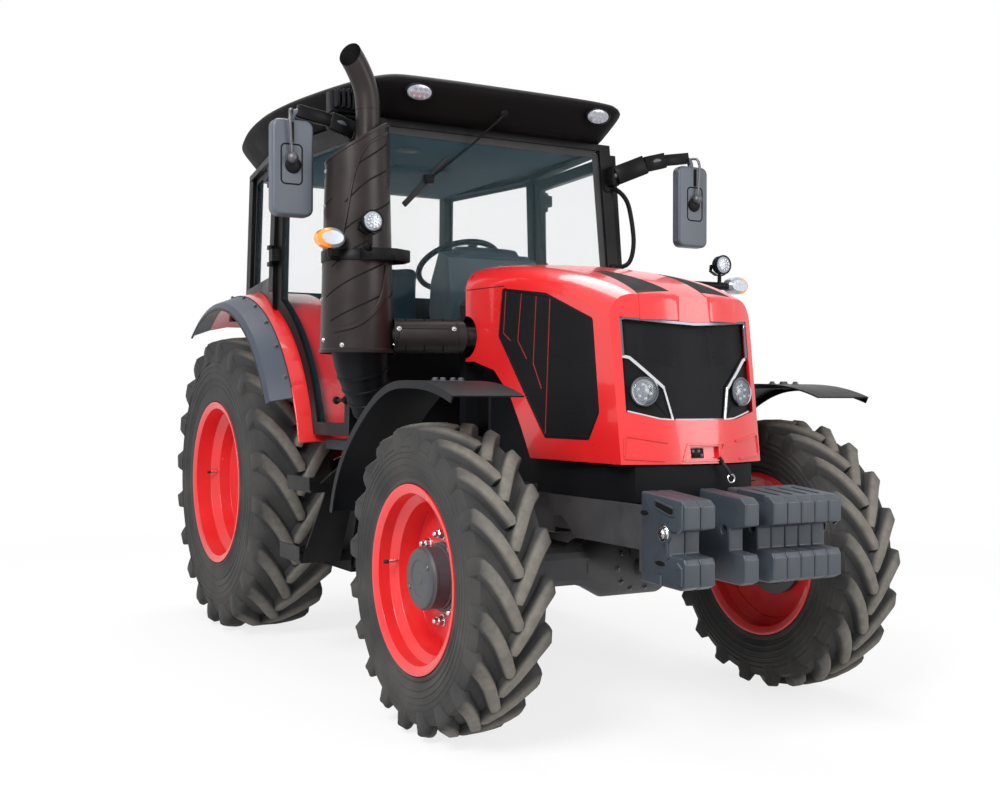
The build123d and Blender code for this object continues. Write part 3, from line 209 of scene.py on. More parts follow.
def finishOf(name, colour, rough, spread=0.06, tone=0.08, toneScale=4.0, grain=0, grainDepth=0.0, pits=0.3,
             metal=0.0, coat=0.0, dust=0.0, dustTop=1.0, dustColour=(150, 140, 125), emit=0.0, specular=0.5):
    # painted, moulded or cast surface: clouded tone, grain and dust
    tree, shader, place = newFinish(name)
    base = srgb(*colour)
    mottle = placeEffect(tree, "mottle", place, Scale=toneScale)
    colourOut = blendColour(tree, mottle.outputs["Mask"], toned(base, 1 - tone), toned(base, 1 + tone))
    roughMap = addNode(tree, "ShaderNodeMapRange", {"To Min": max(0.02, rough - spread),
                                                    "To Max": min(1.0, rough + spread)})
    wire(tree, (mottle, "Mask", roughMap, "Value"))
    roughOut = roughMap.outputs["Result"]
    if dust:
        veil = placeEffect(tree, "dust", place, Top=dustTop, Amount=dust)
        colourOut = blendColour(tree, veil.outputs["Mask"], colourOut, srgb(*dustColour))
        dull = addNode(tree, "ShaderNodeMix", {"B": 0.9})
        wire(tree, (veil, "Mask", dull, "Factor"))
        tree.links.new(roughOut, dull.inputs["A"])
        roughOut = dull.outputs["Result"]
    tree.links.new(colourOut, shader.inputs["Base Color"])
    tree.links.new(roughOut, shader.inputs["Roughness"])
    if grain:
        height = placeEffect(tree, "grain", place, Scale=grain, Pits=pits)
        bump = addNode(tree, "ShaderNodeBump", {"Strength": 0.6, "Distance": grainDepth})
        wire(tree, (height, "Height", bump, "Height"), (bump, "Normal", shader, "Normal"))
    setSockets(shader, {"Metallic": metal, "Coat Weight": coat, "Coat Roughness": 0.06,
                        "Specular IOR Level": specular})
    if emit:
        tree.links.new(colourOut, shader.inputs["Emission Color"])
        shader.inputs["Emission Strength"].default_value = emit


def glassFinish(name, colour, alpha, rough=0.03):
    # tinted sheet: mostly clear, its tint a little uneven
    tree, shader, place = newFinish(name)
    mottle = placeEffect(tree, "mottle", place, Scale=1.5)
    base = srgb(*colour)
    tree.links.new(blendColour(tree, mottle.outputs["Mask"], toned(base, 0.85), base),
                   shader.inputs["Base Color"])
    setSockets(shader, {"Roughness": rough, "Alpha": alpha, "Specular IOR Level": 0.5})


def rubberFinish(name, tyre):
    # dark rubber: lug tops scuffed pale, grooves and wall darker, dust in clouds
    finishOf(name, (47, 47, 48), 0.74, 0.08, 0.16, 9.0, 520, 0.0005, 0.4, dust=0.3, dustTop=1.8,
             dustColour=(112, 108, 101), specular=0.3)
    tree = finishes[name].node_tree
    base = tree.nodes["Principled BSDF"].inputs["Base Color"]
    place = next(node for node in tree.nodes if node.type == "TEX_COORD")
    low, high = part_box(tyre)
    tip = (high.x - low.x) / 2
    shift = addNode(tree, "ShaderNodeVectorMath", {1: centreOf(tyre)}, "SUBTRACT")
    flat = addNode(tree, "ShaderNodeVectorMath", {1: (1, 0, 1)}, "MULTIPLY")
    length = addNode(tree, "ShaderNodeVectorMath", operation="LENGTH")
    worn = addNode(tree, "ShaderNodeMapRange", {"From Min": tip - 0.020, "From Max": tip - 0.003,
                                                "To Max": 0.85})
    scuff = placeEffect(tree, "mottle", place.outputs["Object"], Scale=26.0)
    lift = addNode(tree, "ShaderNodeMapRange", {"To Min": 0.55})
    share = addNode(tree, "ShaderNodeMath", operation="MULTIPLY")
    wire(tree, (place, "Object", shift, 0), (shift, "Vector", flat, 0), (flat, "Vector", length, 0),
         (length, "Value", worn, "Value"), (scuff, "Mask", lift, "Value"), (worn, "Result", share, 0),
         (lift, "Result", share, 1))
    pale = blendColour(tree, share.outputs["Value"], base.links[0].from_socket, srgb(124, 119, 111))
    tree.links.new(pale, base)


# name, colour, roughness and its spread, tone and its scale, grain scale and depth, pits
finishOf("redPaint", (216, 33, 36), 0.3, 0.05, 0.05, 3.0, 900, 0.00006, coat=0.6)
finishOf("rimRed", (216, 34, 38), 0.36, 0.06, 0.07, 5.0, 700, 0.0001, coat=0.3, dust=0.12)
finishOf("blackPlastic", (19, 20, 23), 0.42, 0.07, 0.12, 6.0, 900, 0.00025, 0.6, specular=0.1)
finishOf("blackPaint", (14, 14, 16), 0.4, 0.08, 0.12, 5.0, 500, 0.00015, dust=0.05, specular=0.11)
finishOf("greyCasting", (52, 54, 58), 0.6, 0.08, 0.15, 9.0, 260, 0.0008, 0.4, dust=0.25)
finishOf("weightGrey", (50, 58, 67), 0.42, 0.07, 0.09, 7.0, 240, 0.0006, 0.4, dust=0.12)
finishOf("engineGrey", (58, 58, 60), 0.55, 0.08, 0.15, 9.0, 260, 0.0008, 0.4, dust=0.2)
rubberFinish("frontRubber", "front_tyre_left")
rubberFinish("rearRubber", "rear_tyre_left")
finishOf("hubGrey", (60, 63, 68), 0.5, 0.06, 0.1, 9.0, 380, 0.0004, 0.4, dust=0.1)
finishOf("steel", (205, 205, 208), 0.28, 0.08, 0.1, 30.0, 600, 0.00008, metal=1.0)
finishOf("darkSteel", (92, 92, 95), 0.45, 0.1, 0.15, 14.0, 400, 0.0003, metal=0.7, dust=0.2)
finishOf("exhaustBlack", (40, 34, 34), 0.36, 0.1, 0.14, 6.0, 700, 0.0002, metal=0.2, specular=0.25)
finishOf("seatCloth", (28, 46, 55), 0.9, 0.05, 0.15, 10.0, 1400, 0.0008, 0.8, specular=0.2)
finishOf("dashGrey", (26, 46, 54), 0.6, 0.06, 0.08, 6.0, 1200, 0.0003, 0.7)
finishOf("lineRed", (150, 26, 30), 0.45, 0.05, 0.06, 8.0)
finishOf("roofBlack", (13, 11, 12), 0.62, 0.08, 0.12, 5.0, 600, 0.0002, specular=0.08)
finishOf("mirrorGrey", (76, 82, 92), 0.42, 0.06, 0.08, 6.0, 900, 0.0002, 0.6)
finishOf("fenderSlate", (52, 60, 74), 0.5, 0.06, 0.1, 6.0, 900, 0.00025, 0.6)
finishOf("rubberSeal", (20, 20, 21), 0.7, 0.08, 0.12, 12.0, 700, 0.0003)
finishOf("screenMesh", (24, 24, 27), 0.55, 0.08, 0.15, 12.0, 420, 0.0006, 0.9, specular=0.12)
finishOf("amberLens", (250, 140, 22), 0.12, 0.04, 0.08, 40.0, 260, 0.0006, coat=0.8, emit=0.12)
finishOf("redLens", (196, 20, 22), 0.12, 0.04, 0.08, 40.0, 260, 0.0006, coat=0.8, emit=0.05)
finishOf("clearLens", (158, 164, 172), 0.14, 0.05, 0.06, 40.0, 300, 0.0008, coat=0.8, metal=0.35)
finishOf("chrome", (222, 224, 228), 0.1, 0.05, 0.04, 20.0, metal=1.0)
finishOf("mirrorGlass", (190, 196, 202), 0.05, 0.02, 0.03, 6.0, metal=1.0)
# near-black for holes, slots, recesses and the stack's inside: painted shade where openings show only
# darkness
finishOf("paintedShadeBlack", (9, 9, 10), 0.8, 0.05, 0.1, 20.0, specular=0.2)
# dark red of the red paint in shade: painted shade for the groove on the hood's side
finishOf("grooveShadeRed", (38, 14, 15), 0.7, 0.05, 0.1, 20.0, specular=0.2)
finishOf("darkChrome", (104, 108, 115), 0.2, 0.06, 0.06, 12.0, metal=0.85)
glassFinish("lampGlass", (225, 232, 238), 0.18, 0.02)
finishOf("trimRubber", (30, 30, 32), 0.62, 0.08, 0.1, 14.0, 600, 0.0003)
glassFinish("cabGlass", (60, 118, 132), 0.045)
finishOf("cabTeal", (22, 58, 72), 0.8, 0.05, 0.1, 6.0, 900, 0.0002, 0.5, specular=0.2)
finishOf("dashDark", (20, 36, 42), 0.6, 0.06, 0.08, 6.0, 1200, 0.0003, 0.7, specular=0.3)
print("finishes:", len(finishes))


def turnTo(axis):
    return Vector((0, 0, 1)).rotation_difference(Vector(axis)).to_matrix()


def circle(count):
    # angles round a full turn
    return [2 * math.pi * k / count for k in range(count)]


def bridged(rings):
    # quads between rings of point numbers
    faces = []
    for first, second in zip(rings, rings[1:]):
        count = len(first)
        faces += [[first[k], first[(k + 1) % count], second[(k + 1) % count], second[k]]
                  for k in range(count)]
    return faces


def ringRows(rows, count, start=0):
    # point numbers of rows of rings
    return [list(range(start + row * count, start + (row + 1) * count)) for row in range(rows)]


class Maker:
    # gathers shapes in several finishes into one piece
    def __init__(self, name):
        self.name = name
        self.form = bmesh.new()
        self.finishNames = []

    def add(self, points, faces, finish):
        if finish not in self.finishNames:
            self.finishNames.append(finish)
        verts = [self.form.verts.new(point) for point in points]
        for loop in faces:
            face = self.form.faces.new([verts[i] for i in loop])
            face.material_index = self.finishNames.index(finish)
            face.smooth = True
        return self

    def lathe(self, profile, origin, axis, finish, count=48):
        # profile of (radius, along), closed at the axis where the radius is 0
        turn, origin = turnTo(axis), Vector(origin)
        points, rings = [], []
        for radius, along in profile:
            if radius < 1e-6:
                rings.append([len(points)])
                points.append(origin + turn @ Vector((0, 0, along)))
                continue
            rings.append(list(range(len(points), len(points) + count)))
            for angle in circle(count):
                points.append(origin + turn @ Vector((radius * math.cos(angle), radius * math.sin(angle),
                                                      along)))
        faces = []
        for first, second in zip(rings, rings[1:]):
            for i in range(count):
                j = (i + 1) % count
                loop = [first[i % len(first)], first[j % len(first)], second[j % len(second)],
                        second[i % len(second)]]
                loop = list(dict.fromkeys(loop))
                if len(loop) > 2:
                    faces.append(loop)
        return self.add(points, faces, finish)

    def prism(self, outline, depth, finish):
        # closed outline of 3-D points pushed along depth
        outline = [Vector(point) for point in outline]
        depth, count = Vector(depth), len(outline)
        points = outline + [point + depth for point in outline]
        faces = [list(range(count))[::-1], list(range(count, 2 * count))]
        faces += [[i, (i + 1) % count, count + (i + 1) % count, count + i] for i in range(count)]
        return self.add(points, faces, finish)

    def box(self, low, high, finish):
        (x0, y0, z0), (x1, y1, z1) = low, high
        return self.prism([(x0, y0, z0), (x1, y0, z0), (x1, y1, z0), (x0, y1, z0)], (0, 0, z1 - z0), finish)

    def tube(self, path, radius, finish, count=12, side=None):
        # round bar along a path, or a flat one where side gives its half width and half height
        path = [Vector(point) for point in path]
        points, rings = [], []
        normal = None
        for i, here in enumerate(path):
            ahead = path[min(i + 1, len(path) - 1)] - path[max(i - 1, 0)]
            ahead.normalize()
            if normal is None:
                normal = ahead.cross(Vector((0, 0, 1)) if abs(ahead.z) < 0.9
                                     else Vector((1, 0, 0))).normalized()
            else:
                normal = (normal - ahead * normal.dot(ahead)).normalized()
            across = ahead.cross(normal)
            if side:
                corners = ((1, 1), (-1, 1), (-1, -1), (1, -1))
                ring = [here + normal * side[0] * a + across * side[1] * b for a, b in corners]
            else:
                size = radius[i] if isinstance(radius, (list, tuple)) else radius
                ring = [here + (normal * math.cos(a) + across * math.sin(a)) * size for a in circle(count)]
            rings.append(list(range(len(points), len(points) + len(ring))))
            points += ring
        return self.add(points, [rings[0][::-1], rings[-1]] + bridged(rings), finish)

    def strip(self, track, width, height, finish, closed=False):
        # raised band along a track of (point, normal)
        half, count, points, rings = width / 2, len(track), [], []
        rows = ((-half, -0.0015), (-half, height * 0.5), (-half * 0.7, height), (half * 0.7, height),
                (half, height * 0.5), (half, -0.0015))
        for i, (place, normal) in enumerate(track):
            before, after = (i - 1, (i + 1) % count) if closed else (max(i - 1, 0), min(i + 1, count - 1))
            across = normal.cross(track[after][0] - track[before][0]).normalized()
            rings.append(list(range(len(points), len(points) + 6)))
            points += [place + across * a + normal * b for a, b in rows]
        ends = [] if closed else [rings[0][::-1], rings[-1]]
        return self.add(points, ends + bridged(rings + (rings[:1] if closed else [])), finish)

    def mesh(self, bevel=0.0, angle=35):
        bmesh.ops.remove_doubles(self.form, verts=self.form.verts, dist=1e-6)
        bmesh.ops.recalc_face_normals(self.form, faces=self.form.faces)
        mesh = bpy.data.meshes.new(self.name)
        self.form.to_mesh(mesh)
        self.form.free()
        for finish in self.finishNames:
            mesh.materials.append(finishes[finish])
        if bevel:
            mesh = bevelled(mesh, bevel, angle)
        mesh.set_sharp_from_angle(angle=math.radians(angle))
        return mesh

    def piece(self, body, slot=None, stands=(), bevel=0.0, angle=35):
        made = addObject(self.name, self.mesh(bevel, angle))
        return settle(made, body, stands)


def settle(piece, body, stands=()):
    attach(piece, body)
    if stands:
        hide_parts(*stands)
    return piece


def evaluated(mesh, build):
    # mesh with the modifiers that build adds, as a plain mesh again
    holder = addObject("holder", mesh)
    build(holder)
    bpy.context.view_layer.update()
    made = bpy.data.meshes.new_from_object(holder.evaluated_get(bpy.context.evaluated_depsgraph_get()))
    holder.modifiers.clear()
    bpy.data.objects.remove(holder)
    return made


def bevelled(mesh, width, angle=35, segments=2):
    def build(holder):
        bevel = holder.modifiers.new("edges", "BEVEL")
        bevel.width = width
        bevel.segments = segments
        bevel.limit_method = "ANGLE"
        bevel.angle_limit = math.radians(angle)
        bevel.harden_normals = True
    return evaluated(mesh, build)


@contextmanager
def reshaped(mesh):
    # mesh opened for editing and written back
    form = bmesh.new()
    form.from_mesh(mesh)
    yield form
    form.to_mesh(mesh)
    form.free()


def paintCopies(tree, copies, start, end):
    # copies made real and given the finish
    solid = addNode(tree, "GeometryNodeRealizeInstances")
    paint = addNode(tree, "GeometryNodeSetMaterial")
    wire(tree, (copies, "Instances", solid, "Geometry"), (solid, "Geometry", paint, "Geometry"),
         (start, "Finish", paint, "Material"), (paint, "Geometry", end, "Geometry"))


def aroundTree():
    # copies of the incoming mesh round an axle through the origin
    tree, start, end = newGroup("roundAxle", [("Geometry", "Geometry", None), ("Count", "Int", None),
                                              ("Turn", "Vector", None), ("Finish", "Material", None)],
                                [("Geometry", "Geometry")], "GeometryNodeTree")
    line = addNode(tree, "GeometryNodeMeshLine", {"Offset": (0, 0, 0)})
    copies = addNode(tree, "GeometryNodeInstanceOnPoints")
    index = addNode(tree, "GeometryNodeInputIndex")
    scale = addNode(tree, "ShaderNodeVectorMath", operation="SCALE")
    wire(tree, (start, "Count", line, "Count"), (start, "Turn", scale, 0), (index, "Index", scale, "Scale"),
         (scale, "Vector", copies, "Rotation"), (line, "Mesh", copies, "Points"),
         (start, "Geometry", copies, "Instance"))
    paintCopies(tree, copies, start, end)
    return tree


def onPointsTree():
    # copies of a small shape on the points of a mesh, each turned along the point's facing
    tree, start, end = newGroup("onPoints", [("Geometry", "Geometry", None), ("Shape", "Object", None),
                                             ("Finish", "Material", None)],
                                [("Geometry", "Geometry")], "GeometryNodeTree")
    facing = tree.nodes.new("GeometryNodeInputNamedAttribute")
    facing.data_type = "FLOAT_VECTOR"
    facing.inputs["Name"].default_value = "facing"
    turn = tree.nodes.new("FunctionNodeAlignRotationToVector")
    turn.axis = "Z"
    shape = addNode(tree, "GeometryNodeObjectInfo")
    copies = addNode(tree, "GeometryNodeInstanceOnPoints")
    wire(tree, (facing, "Attribute", turn, "Vector"), (turn, "Rotation", copies, "Rotation"),
         (start, "Shape", shape, "Object"), (shape, "Geometry", copies, "Instance"),
         (start, "Geometry", copies, "Points"))
    paintCopies(tree, copies, start, end)
    return tree


ringTree, scatterTree = aroundTree(), onPointsTree()


def throughTree(mesh, tree, **values):
    # mesh sent through a node tree, whose inputs are set by their identifiers
    def build(holder):
        modifier = holder.modifiers.new("copies", "NODES")
        modifier.node_group = tree
        for item in tree.interface.items_tree:
            if item.in_out == "INPUT" and item.name in values:
                modifier[item.identifier] = values[item.name]
    return evaluated(mesh, build)


def repeated(mesh, count, turn, finish):
    return throughTree(mesh, ringTree, Count=count, Turn=turn, Finish=finishes[finish])


def joined(name, meshes, places=None):
    # several meshes as one, each moved by its own matrix
    form, names, out = bmesh.new(), [], bpy.data.meshes.new(name)
    for k, mesh in enumerate(meshes):
        if places:
            mesh.transform(places[k])
        shift = []
        for material in mesh.materials:
            if material not in names:
                names.append(material)
            shift.append(names.index(material))
        before = len(form.faces)
        form.from_mesh(mesh)
        form.faces.ensure_lookup_table()
        for face in form.faces[before:]:
            face.material_index = shift[face.material_index] if shift else 0
    form.to_mesh(out)
    form.free()
    for material in names:
        out.materials.append(material)
    return out


handOf = {"left": 1, "right": -1}
axleX = centreOf("rear_rim_left").x


def spot(x, y, z):
    # point measured ahead of the rear axle
    return Vector((axleX + x, y, z))


surfaces = {}


def touch(node, origin, direction):
    # where a ray meets a CAD node, with the normal that faces the ray
    if node not in surfaces:
        mesh = nodes[node].data
        surfaces[node] = BVHTree.FromPolygons([v.co for v in mesh.vertices],
                                              [p.vertices for p in mesh.polygons])
    direction = Vector(direction).normalized()
    place, normal = surfaces[node].ray_cast(Vector(origin), direction)[:2]
    if place is None:
        return None
    return place, (normal if normal.dot(direction) < 0 else -normal)


def along(corners, step, closed=False):
    # points at even steps on a polyline
    corners = [Vector(corner) for corner in corners]
    if closed:
        corners.append(corners[0])
    points = []
    for first, second in zip(corners, corners[1:]):
        count = max(1, round((second - first).length / step))
        points += [first.lerp(second, i / count) for i in range(count)]
    return points if closed else points + [corners[-1]]


def touches(node, origins, direction):
    # where rays from several points meet a CAD node
    return [hit for hit in (touch(node, origin, direction) for origin in origins) if hit]


def traced(node, corners, direction, step=0.02, closed=False):
    # polyline laid on a CAD node along a direction
    return touches(node, along(corners, step, closed), direction)


def blended(a, b, c, d, t):
    # point between b and c on a smooth curve
    return 0.5 * (2 * b + (c - a) * t + (2 * a - 5 * b + 4 * c - d) * t * t
                  + (3 * b - a - 3 * c + d) * t ** 3)


def smooth(corners, step=0.02):
    # rounded path through a few points
    corners = [Vector(corner) for corner in corners]
    ends = [2 * corners[0] - corners[1]] + corners + [2 * corners[-1] - corners[-2]]
    points = []
    for a, b, c, d in zip(ends, ends[1:], ends[2:], ends[3:]):
        count = max(2, round((c - b).length / step))
        points += [blended(a, b, c, d, i / count) for i in range(count)]
    return points + [corners[-1]]


def inside(x, y, outline):
    odd = False
    for (xa, ya), (xb, yb) in zip(outline, outline[1:] + outline[:1]):
        if (ya > y) != (yb > y) and x < xa + (y - ya) * (xb - xa) / (yb - ya):
            odd = not odd
    return odd


def scattered(places, shape, finish):
    # one mesh of copies of shape at (point, normal) places
    points = bpy.data.meshes.new("points")
    points.from_pydata([place for place, normal in places], [], [])
    facing = points.attributes.new("facing", "FLOAT_VECTOR", "POINT")
    facing.data.foreach_set("vector", [value for place, normal in places for value in normal])
    pattern = addObject("pattern", shape)
    made = throughTree(points, scatterTree, Shape=pattern, Finish=finishes[finish])
    bpy.data.objects.remove(pattern)
    return made


def boltMesh(size):
    # washer and domed hexagon head
    bolt = Maker("bolt")
    bolt.lathe([(size * 1.5, -0.001), (size * 1.5, size * 0.22), (size * 1.05, size * 0.25)], (0, 0, 0),
               (0, 0, 1), "steel", 12)
    bolt.lathe([(size, size * 0.2), (size, size * 0.85), (size * 0.8, size * 1.05), (0, size * 1.1)],
               (0, 0, 0), (0, 0, 1), "steel", 6)
    return bolt.mesh(angle=30)


def makeBolts(name, places, size, body, finish="steel"):
    settle(addObject(name, scattered(places, boltMesh(size), finish)), body)


def makeHoles(name, node, areas, pitch, radius, body):
    # staggered holes over flat outlines laid on a CAD node, each a near-black disc of painted shade in place
    # of an opening
    disc = Maker("hole").lathe([(radius, 0.0006), (0, 0.0006)], (0, 0, 0), (0, 0, 1), "paintedShadeBlack", 6).mesh()
    places = []
    rise = pitch * 0.866  # rows of a triangular pattern
    for outline, lift, direction in areas:
        low = [min(point[k] for point in outline) for k in (0, 1)]
        high = [max(point[k] for point in outline) for k in (0, 1)]
        for row in range(int((high[1] - low[1]) / rise)):
            second = low[1] + (row + 0.5) * rise
            rowOf = [low[0] + (k + 0.5 * (row % 2)) * pitch
                     for k in range(int((high[0] - low[0]) / pitch) + 1)]
            starts = [lift(first, second) for first in rowOf if inside(first, second, outline)]
            places += touches(node, starts, direction)
    settle(addObject(name, scattered(places, disc, "paintedShadeBlack")), body)
    print(name, len(places), "holes")


softEdges = {"merge": 0.00002, "flatAngle": 0.6, "edgeAngle": 32}


def soften(node, name, finish, width):
    # copy of a CAD node, merged, its flat faces joined and its edges rounded
    mesh = nodes[node].data.copy()
    mesh.name = name
    with reshaped(mesh) as form:
        bmesh.ops.remove_doubles(form, verts=form.verts, dist=softEdges["merge"])
        bmesh.ops.dissolve_limit(form, angle_limit=math.radians(softEdges["flatAngle"]), verts=form.verts,
                                 edges=form.edges, delimit={"NORMAL"})
    mesh.materials.clear()
    mesh.materials.append(finishes[finish])
    mesh.polygons.foreach_set("use_smooth", [True] * len(mesh.polygons))
    if mesh.has_custom_normals:
        mesh.attributes.remove(mesh.attributes["custom_normal"])
    if width:
        mesh = bevelled(mesh, width, softEdges["edgeAngle"])
    else:
        mesh.set_sharp_from_angle(angle=math.radians(softEdges["edgeAngle"]))
    return settle(addObject(name, mesh), nodes[node]["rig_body"], [node])


plainPieces = {
    # node: finish, edge width, slot
    "hood": ("redPaint", 0.004, "red_paint"),
    "hood_screens": ("screenMesh", 0.002, "screen_black"),
    "headlamps": ("blackPlastic", 0.002, "black_plastic"),
    "front_frame": ("greyCasting", 0.003, "grey_casting"),
    "engine": ("engineGrey", 0.006, "engine_grey"),
    "transmission": ("greyCasting", 0.006, "grey_casting"),
    "rear_axle": ("greyCasting", 0.006, "grey_casting"),
    "front_axle": ("greyCasting", 0.004, "grey_casting"),
    "steering_rod": ("steel", 0.002, "steel"),
    "knuckle_left": ("greyCasting", 0.004, "grey_casting"),
    "knuckle_right": ("greyCasting", 0.004, "grey_casting"),
    "lower_panels": ("blackPlastic", 0.003, "black_plastic"),
    "fuel_tank": ("blackPlastic", 0.012, "black_plastic"),
    "battery_box": ("blackPlastic", 0.008, "black_plastic"),
    "steps": ("blackPaint", 0.003, "black_paint"),
    "lamp_arms": ("blackPaint", 0.002, "black_paint"),
    "cab_frame": ("blackPaint", 0.004, "black_paint"),
    "cab_floor": ("dashGrey", 0.003, "black_plastic"),
    "rear_fenders": ("redPaint", 0.003, "red_paint"),
    "fender_extensions": ("fenderSlate", 0.003, "black_plastic"),
    "front_fender_left": ("blackPlastic", 0.002, "black_plastic"),
    "front_fender_right": ("blackPlastic", 0.002, "black_plastic"),
    "dashboard": ("dashGrey", 0.012, "black_plastic"),
    "steering_wheel": ("blackPlastic", 0.003, "black_plastic"),
    "mirrors": ("mirrorGrey", 0.006, "black_plastic"),
    "lower_links": ("blackPaint", 0.003, "black_paint"),
    "lift_arms": ("blackPaint", 0.004, "black_paint"),
    "lift_rods": ("darkSteel", 0.002, "steel"),
    "rear_hitch": ("blackPaint", 0.003, "black_paint"),
    "door_left": ("blackPaint", 0.003, "black_paint"),
    "door_right": ("blackPaint", 0.003, "black_paint"),
    "cab_glass": ("cabGlass", 0.0, "glass"),
    "door_glass_left": ("cabGlass", 0.0, "glass"),
    "door_glass_right": ("cabGlass", 0.0, "glass"),
    "front_rim_left": ("rimRed", 0.002, "rim_red"),
    "front_rim_right": ("rimRed", 0.002, "rim_red"),
    "rear_rim_left": ("rimRed", 0.002, "rim_red"),
    "rear_rim_right": ("rimRed", 0.002, "rim_red"),
}
for node, (finish, width, slot) in plainPieces.items():
    soften(node, node + "_body", finish, width)
print("pieces taken over:", len(plainPieces))


tyreSizes = {
    "front": {"node": "front_tyre", "rim": 0.330, "rimHalf": 0.1285, "lug": 0.038, "lugs": 20,
              "lugScale": 0.98,
              "finish": "frontRubber"},
    "rear": {"node": "rear_tyre", "rim": 0.4065, "rimHalf": 0.200, "lug": 0.046, "lugs": 20, "lugScale": 0.93,
             "finish": "rearRubber"},
}
lugShape = {
    # along the lug: share of the half width, drop below the tip, lean of the top's normal, half width on top
    "stations": ((-0.03, 0.004, 0, 0.013), (0.0, 0.001, 0, 0.017), (0.2, 0.0, 0, 0.0185),
                 (0.42, 0.0015, 3, 0.019),
                 (0.64, 0.005, 6, 0.0205), (0.82, 0.010, 12, 0.023), (0.93, 0.0155, 28, 0.025),
                 (0.985, 0.026, 52, 0.0265),
                 (1.008, 0.045, 76, 0.0275), (1.006, 0.072, 84, 0.029), (0.985, 0.100, 88, 0.031)),
    "depths": (0.042, 0.044, 0.045, 0.045, 0.046, 0.048, 0.046, 0.042, 0.034, 0.024, 0.012),
    "flare": 0.011, "edge": 0.005, "sweep": 21.0, "bow": 1.45, "drawnFor": 0.543,
    # tyre radius of these sizes
}


def lugMesh(tip, half, scale, finish, side):
    # one slanted bar from the tread's middle over the shoulder and down the wall
    centres, normals = [], []
    for share, drop, lean, width in lugShape["stations"]:
        reach = min(max(share, 0.0), 1.0)
        turn = -math.radians(lugShape["sweep"]) * (1 - (1 - reach) ** lugShape["bow"])
        if share < 0:
            turn = math.radians(2.0)
        radial = Vector((math.sin(turn), 0, math.cos(turn)))
        tilt = math.radians(lean)
        centres.append(radial * (tip - drop * scale) + Vector((0, side * share * half, 0)))
        normals.append(radial * math.cos(tilt) + Vector((0, side * math.sin(tilt), 0)))
    points, rings = [], []
    for i, (centre, normal) in enumerate(zip(centres, normals)):
        along = (centres[min(i + 1, len(centres) - 1)] - centres[max(i - 1, 0)]).normalized()
        across = normal.cross(along).normalized()
        width, depth = lugShape["stations"][i][3] * scale, lugShape["depths"][i] * scale
        edge, flare = lugShape["edge"] * scale, lugShape["flare"] * scale
        rows = ((-width - flare, -depth), (-width - 0.25 * edge, -edge), (-width + edge, 0.0),
                (width - edge, 0.0), (width + 0.25 * edge, -edge), (width + flare, -depth))
        rings.append(list(range(len(points), len(points) + len(rows))))
        points += [centre + across * a + normal * b for a, b in rows]
    return Maker("lug").add(points, [rings[0][::-1], rings[-1]] + bridged(rings), finish).mesh(angle=50)


def carcassMesh(tip, half, spec, finish):
    # wall with its rim guard and moulded rings, then the tread's floor
    seat, bead = spec["rim"] - 0.0246, spec["rimHalf"] - 0.0094
    height = tip - seat
    floor = tip - spec["lug"]
    wall = [(seat, bead - 0.006), (seat + 0.025, bead), (seat + 0.029, bead + 0.006),
            (seat + 0.040, bead + 0.008),
            (seat + 0.046, bead + 0.003)]
    for share, reach in ((0.30, 0.945), (0.40, 0.975), (0.50, 0.985), (0.58, 0.98), (0.66, 0.955)):
        radius = seat + share * height
        wall += [(radius - 0.004, half * reach), (radius - 0.0025, half * reach + 0.0022),
                 (radius + 0.0005, half * reach + 0.0022), (radius + 0.002, half * reach)]
    wall += [(seat + 0.74 * height, half * 0.925), (seat + 0.80 * height, half * 0.86),
             (floor - 0.008, half * 0.74),
             (floor - 0.002, half * 0.45), (floor, 0.0)]
    profile = [(radius, -y) for radius, y in wall] + [(radius, y) for radius, y in wall[-2::-1]]
    profile.append(profile[0])
    return Maker("carcass").lathe(profile, (0, 0, 0), (0, 1, 0), finish, 120).mesh(angle=40)


def makeTyre(axle, side):
    spec = tyreSizes[axle]
    node = spec["node"] + "_" + side
    low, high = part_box(node)
    centre, tip, half = (low + high) / 2, (high.x - low.x) / 2, (high.y - low.y) / 2
    pitch = 360 / spec["lugs"]
    scale = tip / lugShape["drawnFor"] * spec["lugScale"]
    meshes = [carcassMesh(tip, half, spec, spec["finish"])]
    for hand, start in ((1, 0.0), (-1, pitch / 2)):
        lug = lugMesh(tip, half * 0.995, scale, spec["finish"], hand)
        lug.transform(Matrix.Rotation(math.radians(start), 4, "Y"))
        meshes.append(repeated(lug, spec["lugs"], (0, math.radians(pitch), 0), spec["finish"]))
    tyre = joined(node + "_rubber", meshes, [Matrix.Translation(centre)] * 3)
    tyre.set_sharp_from_angle(angle=math.radians(45))
    settle(addObject(node + "_rubber", tyre), nodes[node]["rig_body"], [node])


for axle in tyreSizes:
    for side in handOf:
        makeTyre(axle, side)
print("tyres made")


wheelSizes = {
    "front": {"rim": "front_rim", "nuts": 8, "circle": 0.152, "face": 0.0, "nut": 0.0165},
    "rear": {"rim": "rear_rim", "nuts": 8, "circle": 0.125, "face": -0.030, "nut": 0.0175},
}


def nutMesh(size):
    # washer, hexagon and stud end along +Z
    nut = Maker("wheelNut")
    nut.lathe([(0, 0), (size * 1.35, 0), (size * 1.35, 0.004), (size * 1.1, 0.005)], (0, 0, 0), (0, 0, 1),
              "steel", 16)
    nut.lathe([(size * 1.1, 0.004), (size, 0.006), (size, 0.021), (size * 0.85, 0.024), (size * 0.6, 0.024)],
              (0, 0, 0), (0, 0, 1), "steel", 6)
    nut.lathe([(size * 0.6, 0.02), (size * 0.6, 0.036), (size * 0.45, 0.039), (0, 0.039)], (0, 0, 0),
              (0, 0, 1), "steel", 12)
    return nut.mesh(angle=30)


